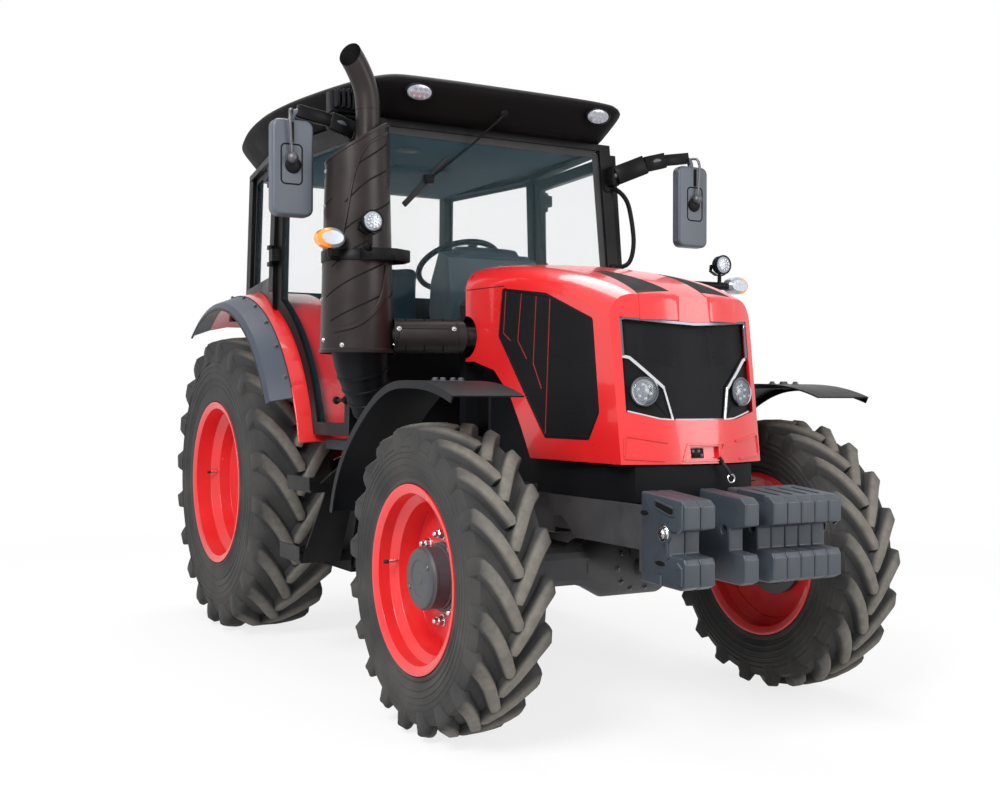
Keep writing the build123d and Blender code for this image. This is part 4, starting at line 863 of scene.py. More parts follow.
def makeNuts(axle, side):
    spec = wheelSizes[axle]
    node = spec["rim"] + "_" + side
    hand = handOf[side]
    centre = centreOf(node)
    nut = nutMesh(spec["nut"])
    nut.transform(Matrix.Translation((0, 0, spec["circle"])) @ turnTo((0, hand, 0)).to_4x4())
    ring = repeated(nut, spec["nuts"], (0, 2 * math.pi / spec["nuts"], 0), "steel")
    ring.transform(Matrix.Translation(centre + Vector((0, hand * spec["face"], 0))))
    settle(addObject(node + "_nuts", ring), nodes[node]["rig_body"])


def makeHub(side):
    # planetary hub: stepped drum, ringed face and two drain plugs
    node = "front_hub_" + side
    low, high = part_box(node)
    hand = handOf[side]
    centre = centreOf("front_rim_" + side)
    reach = abs((high.y if hand > 0 else low.y) - centre.y)
    hub = Maker(node + "_drum")
    hub.lathe([(0.060, -0.07), (0.118, -0.07), (0.118, -0.044), (0.170, -0.036), (0.170, -0.0146),
               (0.122, -0.0146), (0.122, 0.010),
               (0.112, 0.012), (0.112, 0.020), (0.108, 0.022), (0.108, reach - 0.026), (0.111, reach - 0.024),
               (0.111, reach - 0.016), (0.107, reach - 0.013), (0.104, reach - 0.004), (0.098, reach),
               (0.066, reach),
               (0.063, reach - 0.003), (0.022, reach - 0.003), (0.020, reach - 0.001), (0, reach - 0.001)],
              centre, (0, hand, 0), "hubGrey", 64)
    for angle in (0.6, 3.6):
        spot = centre + Vector((0.083 * math.cos(angle), hand * reach, 0.083 * math.sin(angle)))
        hub.lathe([(0.010, -0.002), (0.010, 0.002), (0.008, 0.004), (0, 0.004)], spot, (0, hand, 0),
                  "darkSteel", 6)
    hub.piece(nodes[node]["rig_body"], "grey_casting", [node])


def makeValve(axle, side):
    node = wheelSizes[axle]["rim"] + "_" + side
    low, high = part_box(node)
    hand = handOf[side]
    centre, radius = (low + high) / 2, (high.x - low.x) / 2
    foot = centre + Vector((-(radius - 0.058), hand * ((high.y - low.y) * 0.20), 0.03))
    valve = Maker(node + "_valve")
    valve.tube([foot + Vector((-0.012, 0, 0)), foot + Vector((0.008, hand * 0.006, 0)),
                foot + Vector((0.014, hand * 0.02, 0)),
                foot + Vector((0.016, hand * 0.05, 0))], 0.0055, "steel", 10)
    valve.lathe([(0.0075, 0), (0.0075, 0.014), (0.005, 0.018), (0, 0.018)],
                foot + Vector((0.016, hand * 0.045, 0)),
                (0, hand, 0), "rubberSeal", 12)
    valve.piece(nodes[node]["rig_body"], "steel")


for side in handOf:
    makeHub(side)
    for axle in wheelSizes:
        makeNuts(axle, side)
        makeValve(axle, side)
print("wheels dressed")


noseShape = {"front": 2.790, "lean": 0.13, "curve": 0.6808, "foot": 0.945, "screenPitch": 0.0088,
             "hole": 0.0026,
             "ventEnd": 2.672, "grilleTop": 1.4435, "skinLift": 0.0014}


def onNose(y, z, out=0.0):
    # point of the nose's face and its normal
    curve = noseShape["curve"]
    deep = math.sqrt(curve ** 2 - y ** 2)
    normal = Vector((1, y / deep, noseShape["lean"])).normalized()
    place = spot(noseShape["front"] - noseShape["lean"] * (z - noseShape["foot"]) - (curve - deep), y, z)
    return place + normal * out, normal


def noseTrack(corners, out, step=0.012, closed=False):
    flat = along([(y, z, 0) for y, z in corners], step, closed)
    return [onNose(point.x, point.y, out) for point in flat]


def makeNose():
    # grille surround, lamp brightwork, pressed chin lines, latch pocket and pull
    trim = Maker("noseTrim")
    surround = [(-0.277, 1.318), (-0.277, 1.444), (-0.262, 1.449), (-0.14, 1.438), (0, 1.431), (0.14, 1.438),
                (0.262, 1.449), (0.277, 1.444), (0.277, 1.318)]
    trim.strip(noseTrack(surround, -0.008), 0.013, 0.006, "darkChrome")
    trim.strip(noseTrack([(-0.108, 1.0985), (0.108, 1.0985)], -0.010), 0.008, 0.004, "darkChrome")
    marks = (
        # corners, depth, width, height, finish
        ([(0.284, 1.318), (0.256, 1.312), (0.142, 1.208)], -0.014, 0.015, 0.007, "chrome"),
        ([(0.143, 1.210), (0.116, 1.096)], -0.014, 0.010, 0.006, "chrome"),
        ([(0.117, 1.0985), (0.165, 1.102), (0.274, 1.128)], -0.014, 0.007, 0.005, "chrome"),
        ([(0.176, 1.160), (0.135, 1.112)], -0.016, 0.004, 0.003, "blackPlastic"),
        ([(0.150, 1.020), (0.280, 1.041), (0.290, 1.036), (0.296, 0.974)], 0, 0.008, 0.0045, "redPaint"),
        ([(0.296, 0.966), (0.165, 0.957)], 0, 0.007, 0.004, "redPaint"),
    )
    for hand in (1, -1):
        for corners, out, width, height, finish in marks:
            trim.strip(noseTrack([(y * hand, z) for y, z in corners], out), width, height, finish)
    pocket = [(-0.094, 0.955), (-0.072, 1.012), (0.088, 1.012), (0.062, 0.955)]
    trim.strip(noseTrack(pocket, 0, closed=True), 0.007, 0.004, "redPaint", True)
    trim.piece("hood", "black_plastic")
    plate = Maker("latchPlate")
    normal = onNose(-0.028, 0.983)[1]
    plate.prism([onNose(y, z, -0.0135)[0] for y, z in ((-0.058, 0.966), (0.0, 0.966), (0.0, 1.0),
                                                       (-0.058, 1.0))],
                normal * 0.003, "blackPaint")
    plate.piece("hood", "black_paint", bevel=0.001)
    heads = [onNose(y, z, -0.0105) for y, z in ((-0.046, 0.990), (-0.022, 0.990), (-0.010, 0.975))]
    makeBolts("latchBolts", heads, 0.0036, "hood", "darkSteel")
    pull = Maker("hoodPull")
    top = onNose(0.067, 0.953, -0.002)[0]
    foot = Vector((top.x + 0.014, 0.098, 0.905))
    pull.tube(smooth([top + Vector((-0.02, 0, 0.004)), top, top.lerp(foot, 0.5) + Vector((0.006, 0, 0)),
                      foot], 0.008),
              0.0065, "rubberSeal", 12)
    pull.lathe([(0.011, -0.014), (0.011, 0.006), (0.008, 0.010), (0.0065, 0.010)], top,
               (foot - top).normalized(),
               "blackPlastic", 16)
    centre = foot + Vector((0.002, 0.004, -0.014))
    ring = [centre + Vector((0.003 * math.cos(a), 0.0125 * math.cos(a), 0.014 * math.sin(a)))
            for a in circle(24) + [2 * math.pi]]
    pull.tube(ring, 0.0028, "steel", 8)
    pull.piece("hood", "steel")


def makeHeadlamps():
    # projector with its bright ring, bowl, lamp cells and domed lens
    for side, hand in handOf.items():
        place, normal = onNose(0.215 * hand, 1.195, -0.0085)
        aim = (normal + Vector((0.6, 0, 0))).normalized()
        lamp = Maker("projector_" + side)
        lamp.lathe([(0.038, -0.002), (0.046, 0.001), (0.0515, 0.004), (0.0525, 0.009), (0.049, 0.013),
                    (0.045, 0.012), (0.0435, 0.005),
                    (0.0425, 0.003), (0.034, 0.0035), (0.033, 0.006), (0.030, 0.006), (0.029, 0.002),
                    (0.020, 0.002), (0.012, 0.005), (0, 0.006)],
                   place, aim, "darkChrome", 40)
        for a in circle(6):
            cell = place + turnTo(aim) @ Vector((0.0245 * math.cos(a), 0.0245 * math.sin(a), 0.003))
            lamp.lathe([(0.0065, -0.002), (0.0065, 0.001), (0.004, 0.004), (0, 0.005)], cell, aim,
                       "clearLens", 10)
        lamp.piece("hood", "lamp_lens")
        lens = Maker("projectorLens_" + side)
        lens.lathe([(0.0445, 0.009), (0.041, 0.013), (0.030, 0.017), (0.015, 0.0195), (0, 0.020)], place, aim,
                   "lampGlass", 40)
        lens.piece("hood", "lamp_lens")


screenOutline = [(1.959, 1.600), (2.267, 1.560), (2.556, 1.452), (2.595, 1.120), (2.536, 1.022),
                 (2.258, 1.022), (1.929, 1.410)]
mouthHalf = [(0.0, 1.098), (0.108, 1.098), (0.137, 1.216), (0.258, 1.322), (0.276, 1.326), (0.276, 1.444),
             (0.0, 1.430)]
ventOutline = [(2.323, 0.120), (2.340, 0.172), (2.655, 0.208), (2.682, 0.080), (2.671, 0.062)]


def shrunk(outline, by):
    # outline drawn towards its middle
    middle = (sum(p[0] for p in outline) / len(outline), sum(p[1] for p in outline) / len(outline))
    out = []
    for x, y in outline:
        reach = math.hypot(x - middle[0], y - middle[1])
        share = 1 - by / reach
        out.append((middle[0] + (x - middle[0]) * share, middle[1] + (y - middle[1]) * share))
    return out


def ventIslands(form):
    # points of the two top vents, and all other points
    seen, vents, others = set(), [], []
    for vertex in form.verts:
        if vertex in seen:
            continue
        island, queue = [], [vertex]
        seen.add(vertex)
        while queue:
            here = queue.pop()
            island.append(here)
            for edge in here.link_edges:
                there = edge.other_vert(here)
                if there not in seen:
                    seen.add(there)
                    queue.append(there)
        middle = sum((v.co for v in island), Vector()) / len(island)
        vent = 0.04 < abs(middle.y) < 0.26 and max(v.co.z for v in island) > 1.5
        (vents if vent else others).extend(island)
    return vents, others


def cutForm(form, place, normal, parts=None, **sides):
    # cut along a plane, with clear_inner or clear_outer to drop one side
    geom = parts or form.verts[:] + form.edges[:] + form.faces[:]
    bmesh.ops.bisect_plane(form, geom=geom, plane_co=place, plane_no=normal, **sides)


def makeVentFronts():
    # red skin over the fronts of the two top vents, from their own faces, and the grille freed below them
    below = ((0, 0, noseShape["grilleTop"]), (0, 0, 1))
    mesh = nodes["hood_screens"].data.copy()
    mesh.name = "ventFronts"
    with reshaped(mesh) as form:
        bmesh.ops.remove_doubles(form, verts=form.verts, dist=softEdges["merge"])
        bmesh.ops.delete(form, geom=ventIslands(form)[1], context="VERTS")
        cutForm(form, spot(noseShape["ventEnd"], 0, 0), (1, 0, 0), clear_inner=True)
        cutForm(form, *below, clear_inner=True)
        inner = [face for face in form.faces if face.normal.x < 0.02 and face.normal.z < 0.2]
        bmesh.ops.delete(form, geom=inner, context="FACES")
        bmesh.ops.recalc_face_normals(form, faces=form.faces)
        for face in form.faces:
            if face.normal.x + face.normal.z < 0:
                face.normal_flip()
            face.smooth = True
        form.normal_update()
        for vertex in form.verts:
            vertex.co += vertex.normal * noseShape["skinLift"]
    mesh.materials.clear()
    mesh.materials.append(finishes["redPaint"])
    settle(addObject("ventFronts", mesh), "hood")
    with reshaped(bpy.data.objects["hood_screens_body"].data) as form:
        vents = set(ventIslands(form)[0])
        parts = list(vents) + [e for e in form.edges if e.verts[0] in vents]
        parts += [f for f in form.faces if f.verts[0] in vents]
        cutForm(form, *below, parts, clear_inner=True)


def makeScreens():
    # pressed holes of the grille, side screens and top vents as discs of painted shade, then the red lines of
    # the side screens
    pitch, hole = noseShape["screenPitch"], noseShape["hole"]
    mouth = mouthHalf + [(-y, z) for y, z in mouthHalf[-2:0:-1]]
    areas = [(shrunk(mouth, 0.012), lambda y, z: spot(3.3, y, z), (-1, 0, 0))]
    for hand in (1, -1):
        areas.append((shrunk(screenOutline, 0.022), lambda x, z, h=hand: spot(x, h * 1.2, z), (0, -hand, 0)))
        vent = shrunk([(x, hand * y) for x, y in ventOutline], 0.012)
        areas.append((vent, lambda x, y: spot(x, y, 2.2), (0, 0, -1)))
    makeHoles("screenHoles", "hood_screens", areas, pitch, hole, "hood")
    makeVentFronts()
    lines = Maker("screenLines")
    marks = [[(1.985, 1.585), (1.968, 1.423), (2.020, 1.392)],
             [(2.097, 1.568), (2.072, 1.391), (2.135, 1.318)],
             [(2.199, 1.552), (2.180, 1.300), (2.236, 1.205)], [(2.290, 1.540), (2.262, 1.040)]]
    for hand in (1, -1):
        into = (0, -hand, 0)
        for mark in marks:
            track = traced("hood_screens", [spot(x, hand, z) for x, z in mark], into, 0.025)
            lines.strip(track, 0.0034, 0.0018, "lineRed")
        # dark red line along the hood's pressed groove: painted shade in the groove
        edge = [(1.672, 1.612), (1.80, 1.610), (1.975, 1.607)]
        lines.strip(traced("hood", [spot(x, hand, z) for x, z in edge], into, 0.03), 0.0035, 0.0006,
                    "grooveShadeRed")
        border = [spot(x, hand, z) for x, z in shrunk(screenOutline, 0.012)]
        lines.strip(traced("hood_screens", border, into, 0.02, True), 0.007, 0.0022, "blackPlastic", True)
    lines.piece("hood", "red_paint")


makeNose()
makeHeadlamps()
makeScreens()
print("hood dressed")


weightSizes = {"count": 11, "pitch": 0.060, "slotHalf": 0.009, "edge": 0.0065}


def makeWeights():
    # carved copy of the weights: hand slots on top, grooves at the seams, then the end plates' castings
    low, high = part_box("front_weights")
    top, front, rear = high.z, high.x, low.x
    cutters = Maker("slots")
    half = weightSizes["slotHalf"]
    for k in range(weightSizes["count"] - 1):
        y = (k - (weightSizes["count"] - 2) / 2) * weightSizes["pitch"]
        outline = [(rear + 0.052, y - half, top - 0.030), (rear + 0.052, y + half, top - 0.030),
                   (front - 0.050, y + half, top - 0.042), (front - 0.050, y - half, top - 0.042)]
        cutters.prism(outline, (0, 0, 0.08), "weightGrey")
    knife = addObject("knife", cutters.mesh())
    piece = soften("front_weights", "front_weights_body", "weightGrey", 0.0)

    def build(holder):
        edges = holder.modifiers.new("edges", "BEVEL")
        edges.width, edges.segments = weightSizes["edge"], 3
        edges.limit_method = "ANGLE"
        edges.angle_limit = math.radians(50)
        edges.use_clamp_overlap = False
        cut = holder.modifiers.new("cut", "BOOLEAN")
        cut.object = knife
        cut.operation = "DIFFERENCE"
        cut.solver = "EXACT"
    piece.data = evaluated(piece.data, build)
    piece.data.set_sharp_from_angle(angle=math.radians(40))
    bpy.data.objects.remove(knife)
    for side, hand in handOf.items():
        face = high.y if hand > 0 else low.y
        out = Vector((0, hand, 0))
        plate = Maker("endCasting_" + side)

        def flat(points, lift=0.0):
            return [Vector((rear + x, face + hand * lift, top - down)) for x, down in points]

        def rib(points, width, height, closed=False):
            plate.strip([(place, out) for place in flat(points, -0.001)], width, height, "weightGrey", closed)

        def oval(x, down, wide, tall, count):
            return [(x + wide * math.cos(a), down + tall * math.sin(a)) for a in circle(count)]
        rib([(0.214, 0.030), (0.213, 0.060), (0.213, 0.102), (0.196, 0.114)], 0.026, 0.007)
        rib([(0.142, 0.128), (0.142, 0.196), (0.152, 0.205)], 0.014, 0.006)
        rib([(0.196, 0.222), (0.214, 0.232), (0.213, 0.285)], 0.024, 0.007)
        rib([(0.105, 0.262), (0.105, 0.292)], 0.026, 0.008)
        grip = [(0.078, 0.024), (0.176, 0.044), (0.176, 0.068), (0.150, 0.068), (0.074, 0.046)]
        rib(grip, 0.008, 0.0045, True)
        # the near-black sheets in the grip pocket and the two ovals are painted shade in their recesses
        plate.prism(flat(shrunk(grip, 0.006)), out * 0.0012, "paintedShadeBlack")
        hole = oval(0.106, 0.226, 0.030, 0.011, 20)
        rib(hole, 0.005, 0.003, True)
        plate.prism(flat(shrunk(hole, 0.003)), out * 0.0008, "paintedShadeBlack")
        plate.prism(flat(oval(0.020, 0.070, 0.022, 0.008, 16)), out * 0.0012, "paintedShadeBlack")
        bolt = Vector((front - 0.111, face, top - 0.127))
        plate.lathe([(0.014, 0), (0.036, 0.0), (0.036, 0.004), (0.030, 0.005), (0.028, 0.0015),
                     (0.014, 0.001)], bolt, out, "weightGrey", 32)
        plate.lathe([(0.0, -0.01), (0.0265, -0.01), (0.0265, 0.003), (0.0245, 0.005), (0.019, 0.005)], bolt,
                    out, "steel", 24)
        plate.lathe([(0.019, 0.004), (0.0185, 0.012), (0.0165, 0.0145), (0.011, 0.0145), (0.0105, 0.018),
                     (0, 0.0185)], bolt, out, "steel", 6)
        plate.piece("chassis", "weight_grey")


makeWeights()
print("weights carved")


shieldSizes = {"x": 1.500, "y": -0.765, "foot": 1.350, "length": 0.950, "footR": 0.150, "topR": 0.1262,
               "rim": 2.206,
               "wall": 0.005, "hoop": 1.738}
elbowSizes = {"start": (1.500, -0.765, 1.420), "end": (1.706, -0.262, 1.420), "shieldR": 0.072,
              "pipeR": 0.042}
ductSizes = {"topR": 0.118, "taper": 0.050}
stackSizes = {"outer": 0.050, "inner": 0.0465}


def onShield(degrees, z, out=0.0):
    # point of the heat shield's face, by angle from straight ahead
    share = (z - shieldSizes["foot"]) / shieldSizes["length"]
    radius = shieldSizes["footR"] + (shieldSizes["topR"] - shieldSizes["footR"]) * share + out
    angle = math.radians(degrees)
    normal = Vector((math.cos(angle), math.sin(angle), 0.025)).normalized()
    return spot(shieldSizes["x"] + radius * math.cos(angle), shieldSizes["y"] + radius * math.sin(angle),
                z), normal


def shieldRim(degrees):
    # height of the shield's slanted top
    angle = math.radians(degrees)
    return shieldSizes["rim"] + 0.1285 * (0.20 * math.cos(angle) + 0.62 * math.sin(angle))


def shieldTrack(corners, out=0.0):
    return [onShield(point.x, point.y / 100, out) for point in smooth([(a, z * 100, 0) for a, z in corners],
                                                                      4.0)]


def makeExhaust():
    # slanted slots as strips of painted shade, pressed ridges, hoop, screws and the duct under the shield
    marks = Maker("shieldSlots")
    slots = [[(-21, 2.100), (12, 2.150), (42, 2.195)], [(-44, 1.945), (-5, 2.030), (38, 2.085)],
             [(-50, 1.826), (-11, 1.891), (52, 1.964)],
             [(-68, 1.690), (-32, 1.754), (0, 1.800)], [(-80, 1.571), (-26, 1.647), (28, 1.711)],
             [(-68, 1.474), (-22, 1.530), (17, 1.577)]]
    for shift in (0, 118, 236):
        for slot in slots:
            if any(z > shieldRim(a + shift) - 0.02 for a, z in slot):
                continue
            # each slot is a near-black strip: painted shade where the opening would be
            marks.strip(shieldTrack([(a + shift, z) for a, z in slot]), 0.007, 0.0008, "paintedShadeBlack")
    marks.piece("chassis", "black_paint")
    press = Maker("shieldRidges")
    press.strip(shieldTrack([(44, 2.236), (14, 2.206), (-11, 2.158), (-29, 2.048), (-40, 1.90),
                             (-48, 1.800)]), 0.010, 0.005, "exhaustBlack")
    press.strip(shieldTrack([(-60, 1.436), (-30, 1.452), (-8, 1.484), (14, 1.545), (26, 1.62), (32, 1.70)]),
                0.020, 0.006, "exhaustBlack")
    rim = [onShield(6 * k, shieldRim(6 * k) - 0.006) for k in range(60)]
    press.strip(rim, 0.012, 0.003, "exhaustBlack", True)
    x, y = shieldSizes["x"], shieldSizes["y"]
    foot = spot(x, y, shieldSizes["foot"])
    press.lathe([(0.149, -0.002), (0.154, 0.0), (0.155, 0.012), (0.151, 0.016), (0.148, 0.014)], foot,
                (0, 0, 1), "exhaustBlack", 64)
    press.piece("chassis", "black_paint")
    hoop, high = Maker("lampHoop"), shieldSizes["hoop"]
    hoop.lathe([(0.1395, -0.022), (0.146, -0.022), (0.146, 0.022), (0.1385, 0.022)], spot(x, y, high),
               (0, 0, 1), "blackPaint", 64)
    bow = ((-18, 0.003), (-2, 0.046), (22, 0.078), (46, 0.084), (64, 0.050), (78, 0.003))
    hoop.tube([onShield(a, high, out)[0] for a, out in bow], 0.01, "blackPaint", side=(0.0035, 0.024))
    hoop.piece("chassis", "black_paint", bevel=0.0015)
    screws = [onShield(a, z) for a, z in ((-96, 2.08), (-96, 1.94), (-98, 1.565), (-86, 1.400), (-46, 1.378),
                                          (60, 1.385), (84, 1.90), (150, 1.5),
                                          (150, 2.0), (210, 1.6))]
    makeBolts("shieldScrews", screws, 0.0062, "chassis")
    duct = Maker("airDuct")
    path = smooth([(x - 0.015, y + 0.02, 1.366), (x - 0.02, y + 0.03, 1.30), (x - 0.045, y + 0.065, 1.20),
                   (x - 0.085, y + 0.11, 1.11),
                   (x - 0.118, y + 0.145, 1.06)], 0.03)
    count = len(path)
    sizes = [ductSizes["topR"] - ductSizes["taper"] * i / (count - 1) for i in range(count)]
    duct.tube([spot(*point) for point in path], sizes, "blackPlastic", 24)
    for k in range(3, count - 1, 2):
        size = sizes[k]
        aim = (path[k + 1] - path[k]).normalized()
        fold = [(size - 0.002, -0.008), (size + 0.004, -0.004), (size + 0.004, 0.004), (size - 0.002, 0.008)]
        duct.lathe(fold, spot(*path[k]), aim, "blackPlastic", 24)
    duct.piece("chassis", "black_plastic")
    elbow = Maker("elbowMarks")
    start, end = Vector(elbowSizes["start"]), Vector(elbowSizes["end"])
    run = (end - start).normalized()
    level = run.cross(Vector((0, 0, 1)))

    def onElbow(share, degrees):
        a = math.radians(degrees)
        normal = level * math.cos(a) + Vector((0, 0, 1)) * math.sin(a)
        return spot(*(start.lerp(end, share) + normal * elbowSizes["shieldR"])), normal
    # slots on the elbow's shield, and the line along it, are near-black strips of painted shade
    for share in (0.36, 0.50, 0.64):
        for first, last in ((60, 100), (-60, -30), (120, 150)):
            elbow.strip([onElbow(share, first + (last - first) * k / 5) for k in range(6)], 0.006, 0.0008,
                        "paintedShadeBlack")
    elbow.strip([onElbow(0.29 + 0.45 * k / 10, 24) for k in range(11)], 0.003, 0.0008, "paintedShadeBlack")
    for share in (0.285, 0.745):
        elbow.strip([onElbow(share, 10 * k) for k in range(36)], 0.010, 0.003, "exhaustBlack", True)
    elbow.piece("chassis", "black_paint")
    makeBolts("elbowScrews", [onElbow(share, 24) for share in (0.31, 0.72)], 0.0065, "chassis")


def makeStack():
    # shell with its slanted top in place of the plain one, and the stack with its turned and slanted tip
    x, y = shieldSizes["x"], shieldSizes["y"]
    body = soften("exhaust_shields", "exhaust_shields_body", "exhaustBlack", 0.002)
    axis = spot(x, y, 0)
    with reshaped(body.data) as form:
        shell = []
        for face in form.faces:
            reaches = [math.hypot(v.co.x - axis.x, v.co.y - axis.y) for v in face.verts]
            if max(reaches) < 0.1525 and min(reaches) > 0.115 and face.calc_center_median().z > 1.351:
                shell.append(face)
        bmesh.ops.delete(form, geom=shell, context="FACES")
    skin = Maker("shieldShell")
    count, rows = 72, 14
    points = []
    for wall in (0.0, -shieldSizes["wall"]):
        for row in range(rows + 1):
            for k in range(count):
                a = 360 * k / count
                z = shieldSizes["foot"] + 0.001 + (shieldRim(a) - shieldSizes["foot"]) * row / rows
                points.append(onShield(a, z, wall)[0])
    outside, within = ringRows(rows + 1, count), ringRows(rows + 1, count, count * (rows + 1))
    skin.add(points, bridged(outside + within[::-1] + outside[:1]), "exhaustBlack")
    skin.piece("chassis", "black_paint", ("exhaust_shields",))
    stack = Maker("stackTube")
    outer, inner = stackSizes["outer"], stackSizes["inner"]
    path = smooth([(x, y, 1.300), (x, y, 1.700), (x, y + 0.012, 1.95), (x, y + 0.040, 2.15),
                   (x, y + 0.046, 2.30), (x + 0.001, y + 0.040, 2.40),
                   (x + 0.003, y + 0.018, 2.47), (x + 0.006, y - 0.022, 2.54), (x + 0.010, y - 0.075, 2.605),
                   (x + 0.014, y - 0.135, 2.665)], 0.02)
    cut, aim = spot(x + 0.006, y - 0.040, 2.556), Vector((0.46, -0.78, 0.42)).normalized()
    # the inner tube is near-black: painted shade for the pipe's dark inside
    for radius, finish in ((outer, "exhaustBlack"), (inner, "paintedShadeBlack")):
        stack.tube([spot(*point) for point in path], radius, finish, 32)
    cutForm(stack.form, cut, aim, clear_outer=True)
    stack.tube([spot(*elbowSizes["start"]), spot(*elbowSizes["end"])], elbowSizes["pipeR"], "exhaustBlack",
               24)
    band = [(outer - 0.001, -0.004), (outer + 0.0015, -0.002), (outer + 0.0015, 0.002),
            (outer - 0.001, 0.004)]
    stack.lathe(band, spot(x, y + 0.045, 2.345), (0, 0, 1), "exhaustBlack", 32)
    stack.piece("chassis", "black_paint", ("exhaust_pipe",))


def cellsOn(maker, centre, aim, ringsOf, size, finish="clearLens"):
    # little lamp cells on a lens
    turn = turnTo(aim)
    for radius, count in ringsOf:
        for a in circle(count):
            cell = centre + turn @ Vector((radius * math.cos(a), radius * math.sin(a), 0))
            maker.lathe([(size, -0.001), (size * 0.9, size * 0.5), (0, size * 0.7)], cell, aim, finish, 10)


lampSizes = {
    "signalMiddle": {1: 1.060, -1: -0.9296}, "signalGap": 0.003, "signalLean": 0.12,
    "signalDepth": {1: 0.045, -1: 0.018},
    "rightSignalFront": 1.620, "beaconFoot": 0.0145,
    "workLamps": ((1.700, 0.955, 1.785), (1.695, -0.790, 1.860)),
    "roofLamp": (1.432, 0.455, 2.467), "roofLampHalf": (0.062, 0.036),
    "roofBezel": ((1.02, 0.0), (1.06, 0.004), (0.99, 0.007), (0.92, 0.004)),
    "roofLens": ((0.93, 0.003), (0.8, 0.006), (0.4, 0.0085), (0.001, 0.009)),
    "roofCells": ((-0.036, 0), (-0.012, 0), (0.012, 0), (0.036, 0), (-0.024, 0.018), (0, 0.018),
                  (0.024, 0.018),
                  (-0.024, -0.018), (0, -0.018), (0.024, -0.018)),
}


def splitSignals():
    # signal lamps cut into amber and clear halves, their backs and the beacon's foot black
    piece = soften("signal_lamps", "signal_lamps_body", "clearLens", 0.004)
    mesh = piece.data
    mesh.materials.append(finishes["amberLens"])
    mesh.materials.append(finishes["blackPlastic"])
    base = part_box("roof")[1].z
    foot = base + lampSizes["beaconFoot"]
    fronts = {1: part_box("signal_lamps")[1].x, -1: axleX + lampSizes["rightSignalFront"]}
    lines = {hand: y + hand * lampSizes["signalGap"] for hand, y in lampSizes["signalMiddle"].items()}
    with reshaped(mesh) as form:
        for hand, line in lines.items():
            cutForm(form, (0, line, 0), (0, hand, lampSizes["signalLean"] * hand))
        cutForm(form, (0, 0, foot), (0, 0, 1))
        for face in form.faces:
            middle = face.calc_center_median()
            if middle.z > base:
                face.material_index = 1 if middle.z > foot else 2
                continue
            hand = 1 if middle.y > 0 else -1
            rear = middle.x < fronts[hand] - lampSizes["signalDepth"][hand]
            outboard = (middle.y - lines[hand]) * hand > 0
            face.material_index = 2 if rear else (1 if outboard else 0)


def makeLamps():
    # split turn signals, round work lamps, oval roof lamps and the beacon
    splitSignals()
    soften("work_lamps", "work_lamps_body", "blackPlastic", 0.002)
    faces = Maker("workLampFaces")
    for x, y, z in lampSizes["workLamps"]:
        front = spot(x + 0.0245, y, z)
        faces.lathe([(0.0425, -0.012), (0.0445, -0.006), (0.0445, 0.002), (0.041, 0.004), (0.038, 0.001)],
                    front, (1, 0, 0), "blackPlastic", 36)
        faces.lathe([(0.0385, 0.0), (0.034, 0.003), (0.02, 0.0055), (0, 0.0065)], front, (1, 0, 0),
                    "clearLens", 36)
        cellsOn(faces, front + Vector((0.0045, 0, 0)), (1, 0, 0), ((0.0, 1), (0.0125, 6), (0.025, 11)),
                0.0052)
        fork = ((-0.01, -0.044, 0), (-0.01, -0.048, -0.03), (-0.008, -0.020, -0.046), (-0.008, 0.020, -0.046),
                (-0.01, 0.048, -0.03), (-0.01, 0.044, 0))
        faces.tube([spot(x + dx, y + dy, z + dz) for dx, dy, dz in fork], 0.004, "blackPaint",
                   side=(0.0025, 0.009))
    aim = Vector((1, 0, -0.55)).normalized()
    level = Vector((0, 1, 0))
    rise = aim.cross(level)
    (x, y, z), (wide, tall), count = lampSizes["roofLamp"], lampSizes["roofLampHalf"], 40
    for hand in (1, -1):
        centre = spot(x, y * hand, z)
        for rings, finish in ((lampSizes["roofBezel"], "blackPlastic"), (lampSizes["roofLens"], "clearLens")):
            points = []
            for share, out in rings:
                points += [centre + level * wide * share * math.cos(a)
                           + rise * tall * share * math.sin(a) + aim * out
                           for a in circle(count)]
            faces.add(points, bridged(ringRows(len(rings), count)), finish)
        for across, high in lampSizes["roofCells"]:
            cellsOn(faces, centre + level * across + rise * high + aim * 0.0065, aim, ((0.0, 1),), 0.0075)
    faces.piece("chassis", "lamp_lens")


makeExhaust()
makeStack()
makeLamps()
print("exhaust and lamps dressed")


cabSizes = {"pillarFoot": (1.340, 0.660, 0.985), "pillarLean": (0.085, 0.070), "pillarHeight": 1.390,
            "bandHeight": 0.0012}


def pillarAt(z, hand=1):
    # middle of a front pillar at a height
    (x, y, foot), (back, inward) = cabSizes["pillarFoot"], cabSizes["pillarLean"]
    share = (z - foot) / cabSizes["pillarHeight"]
    return spot(x - back * share, hand * (y - inward * share), z)


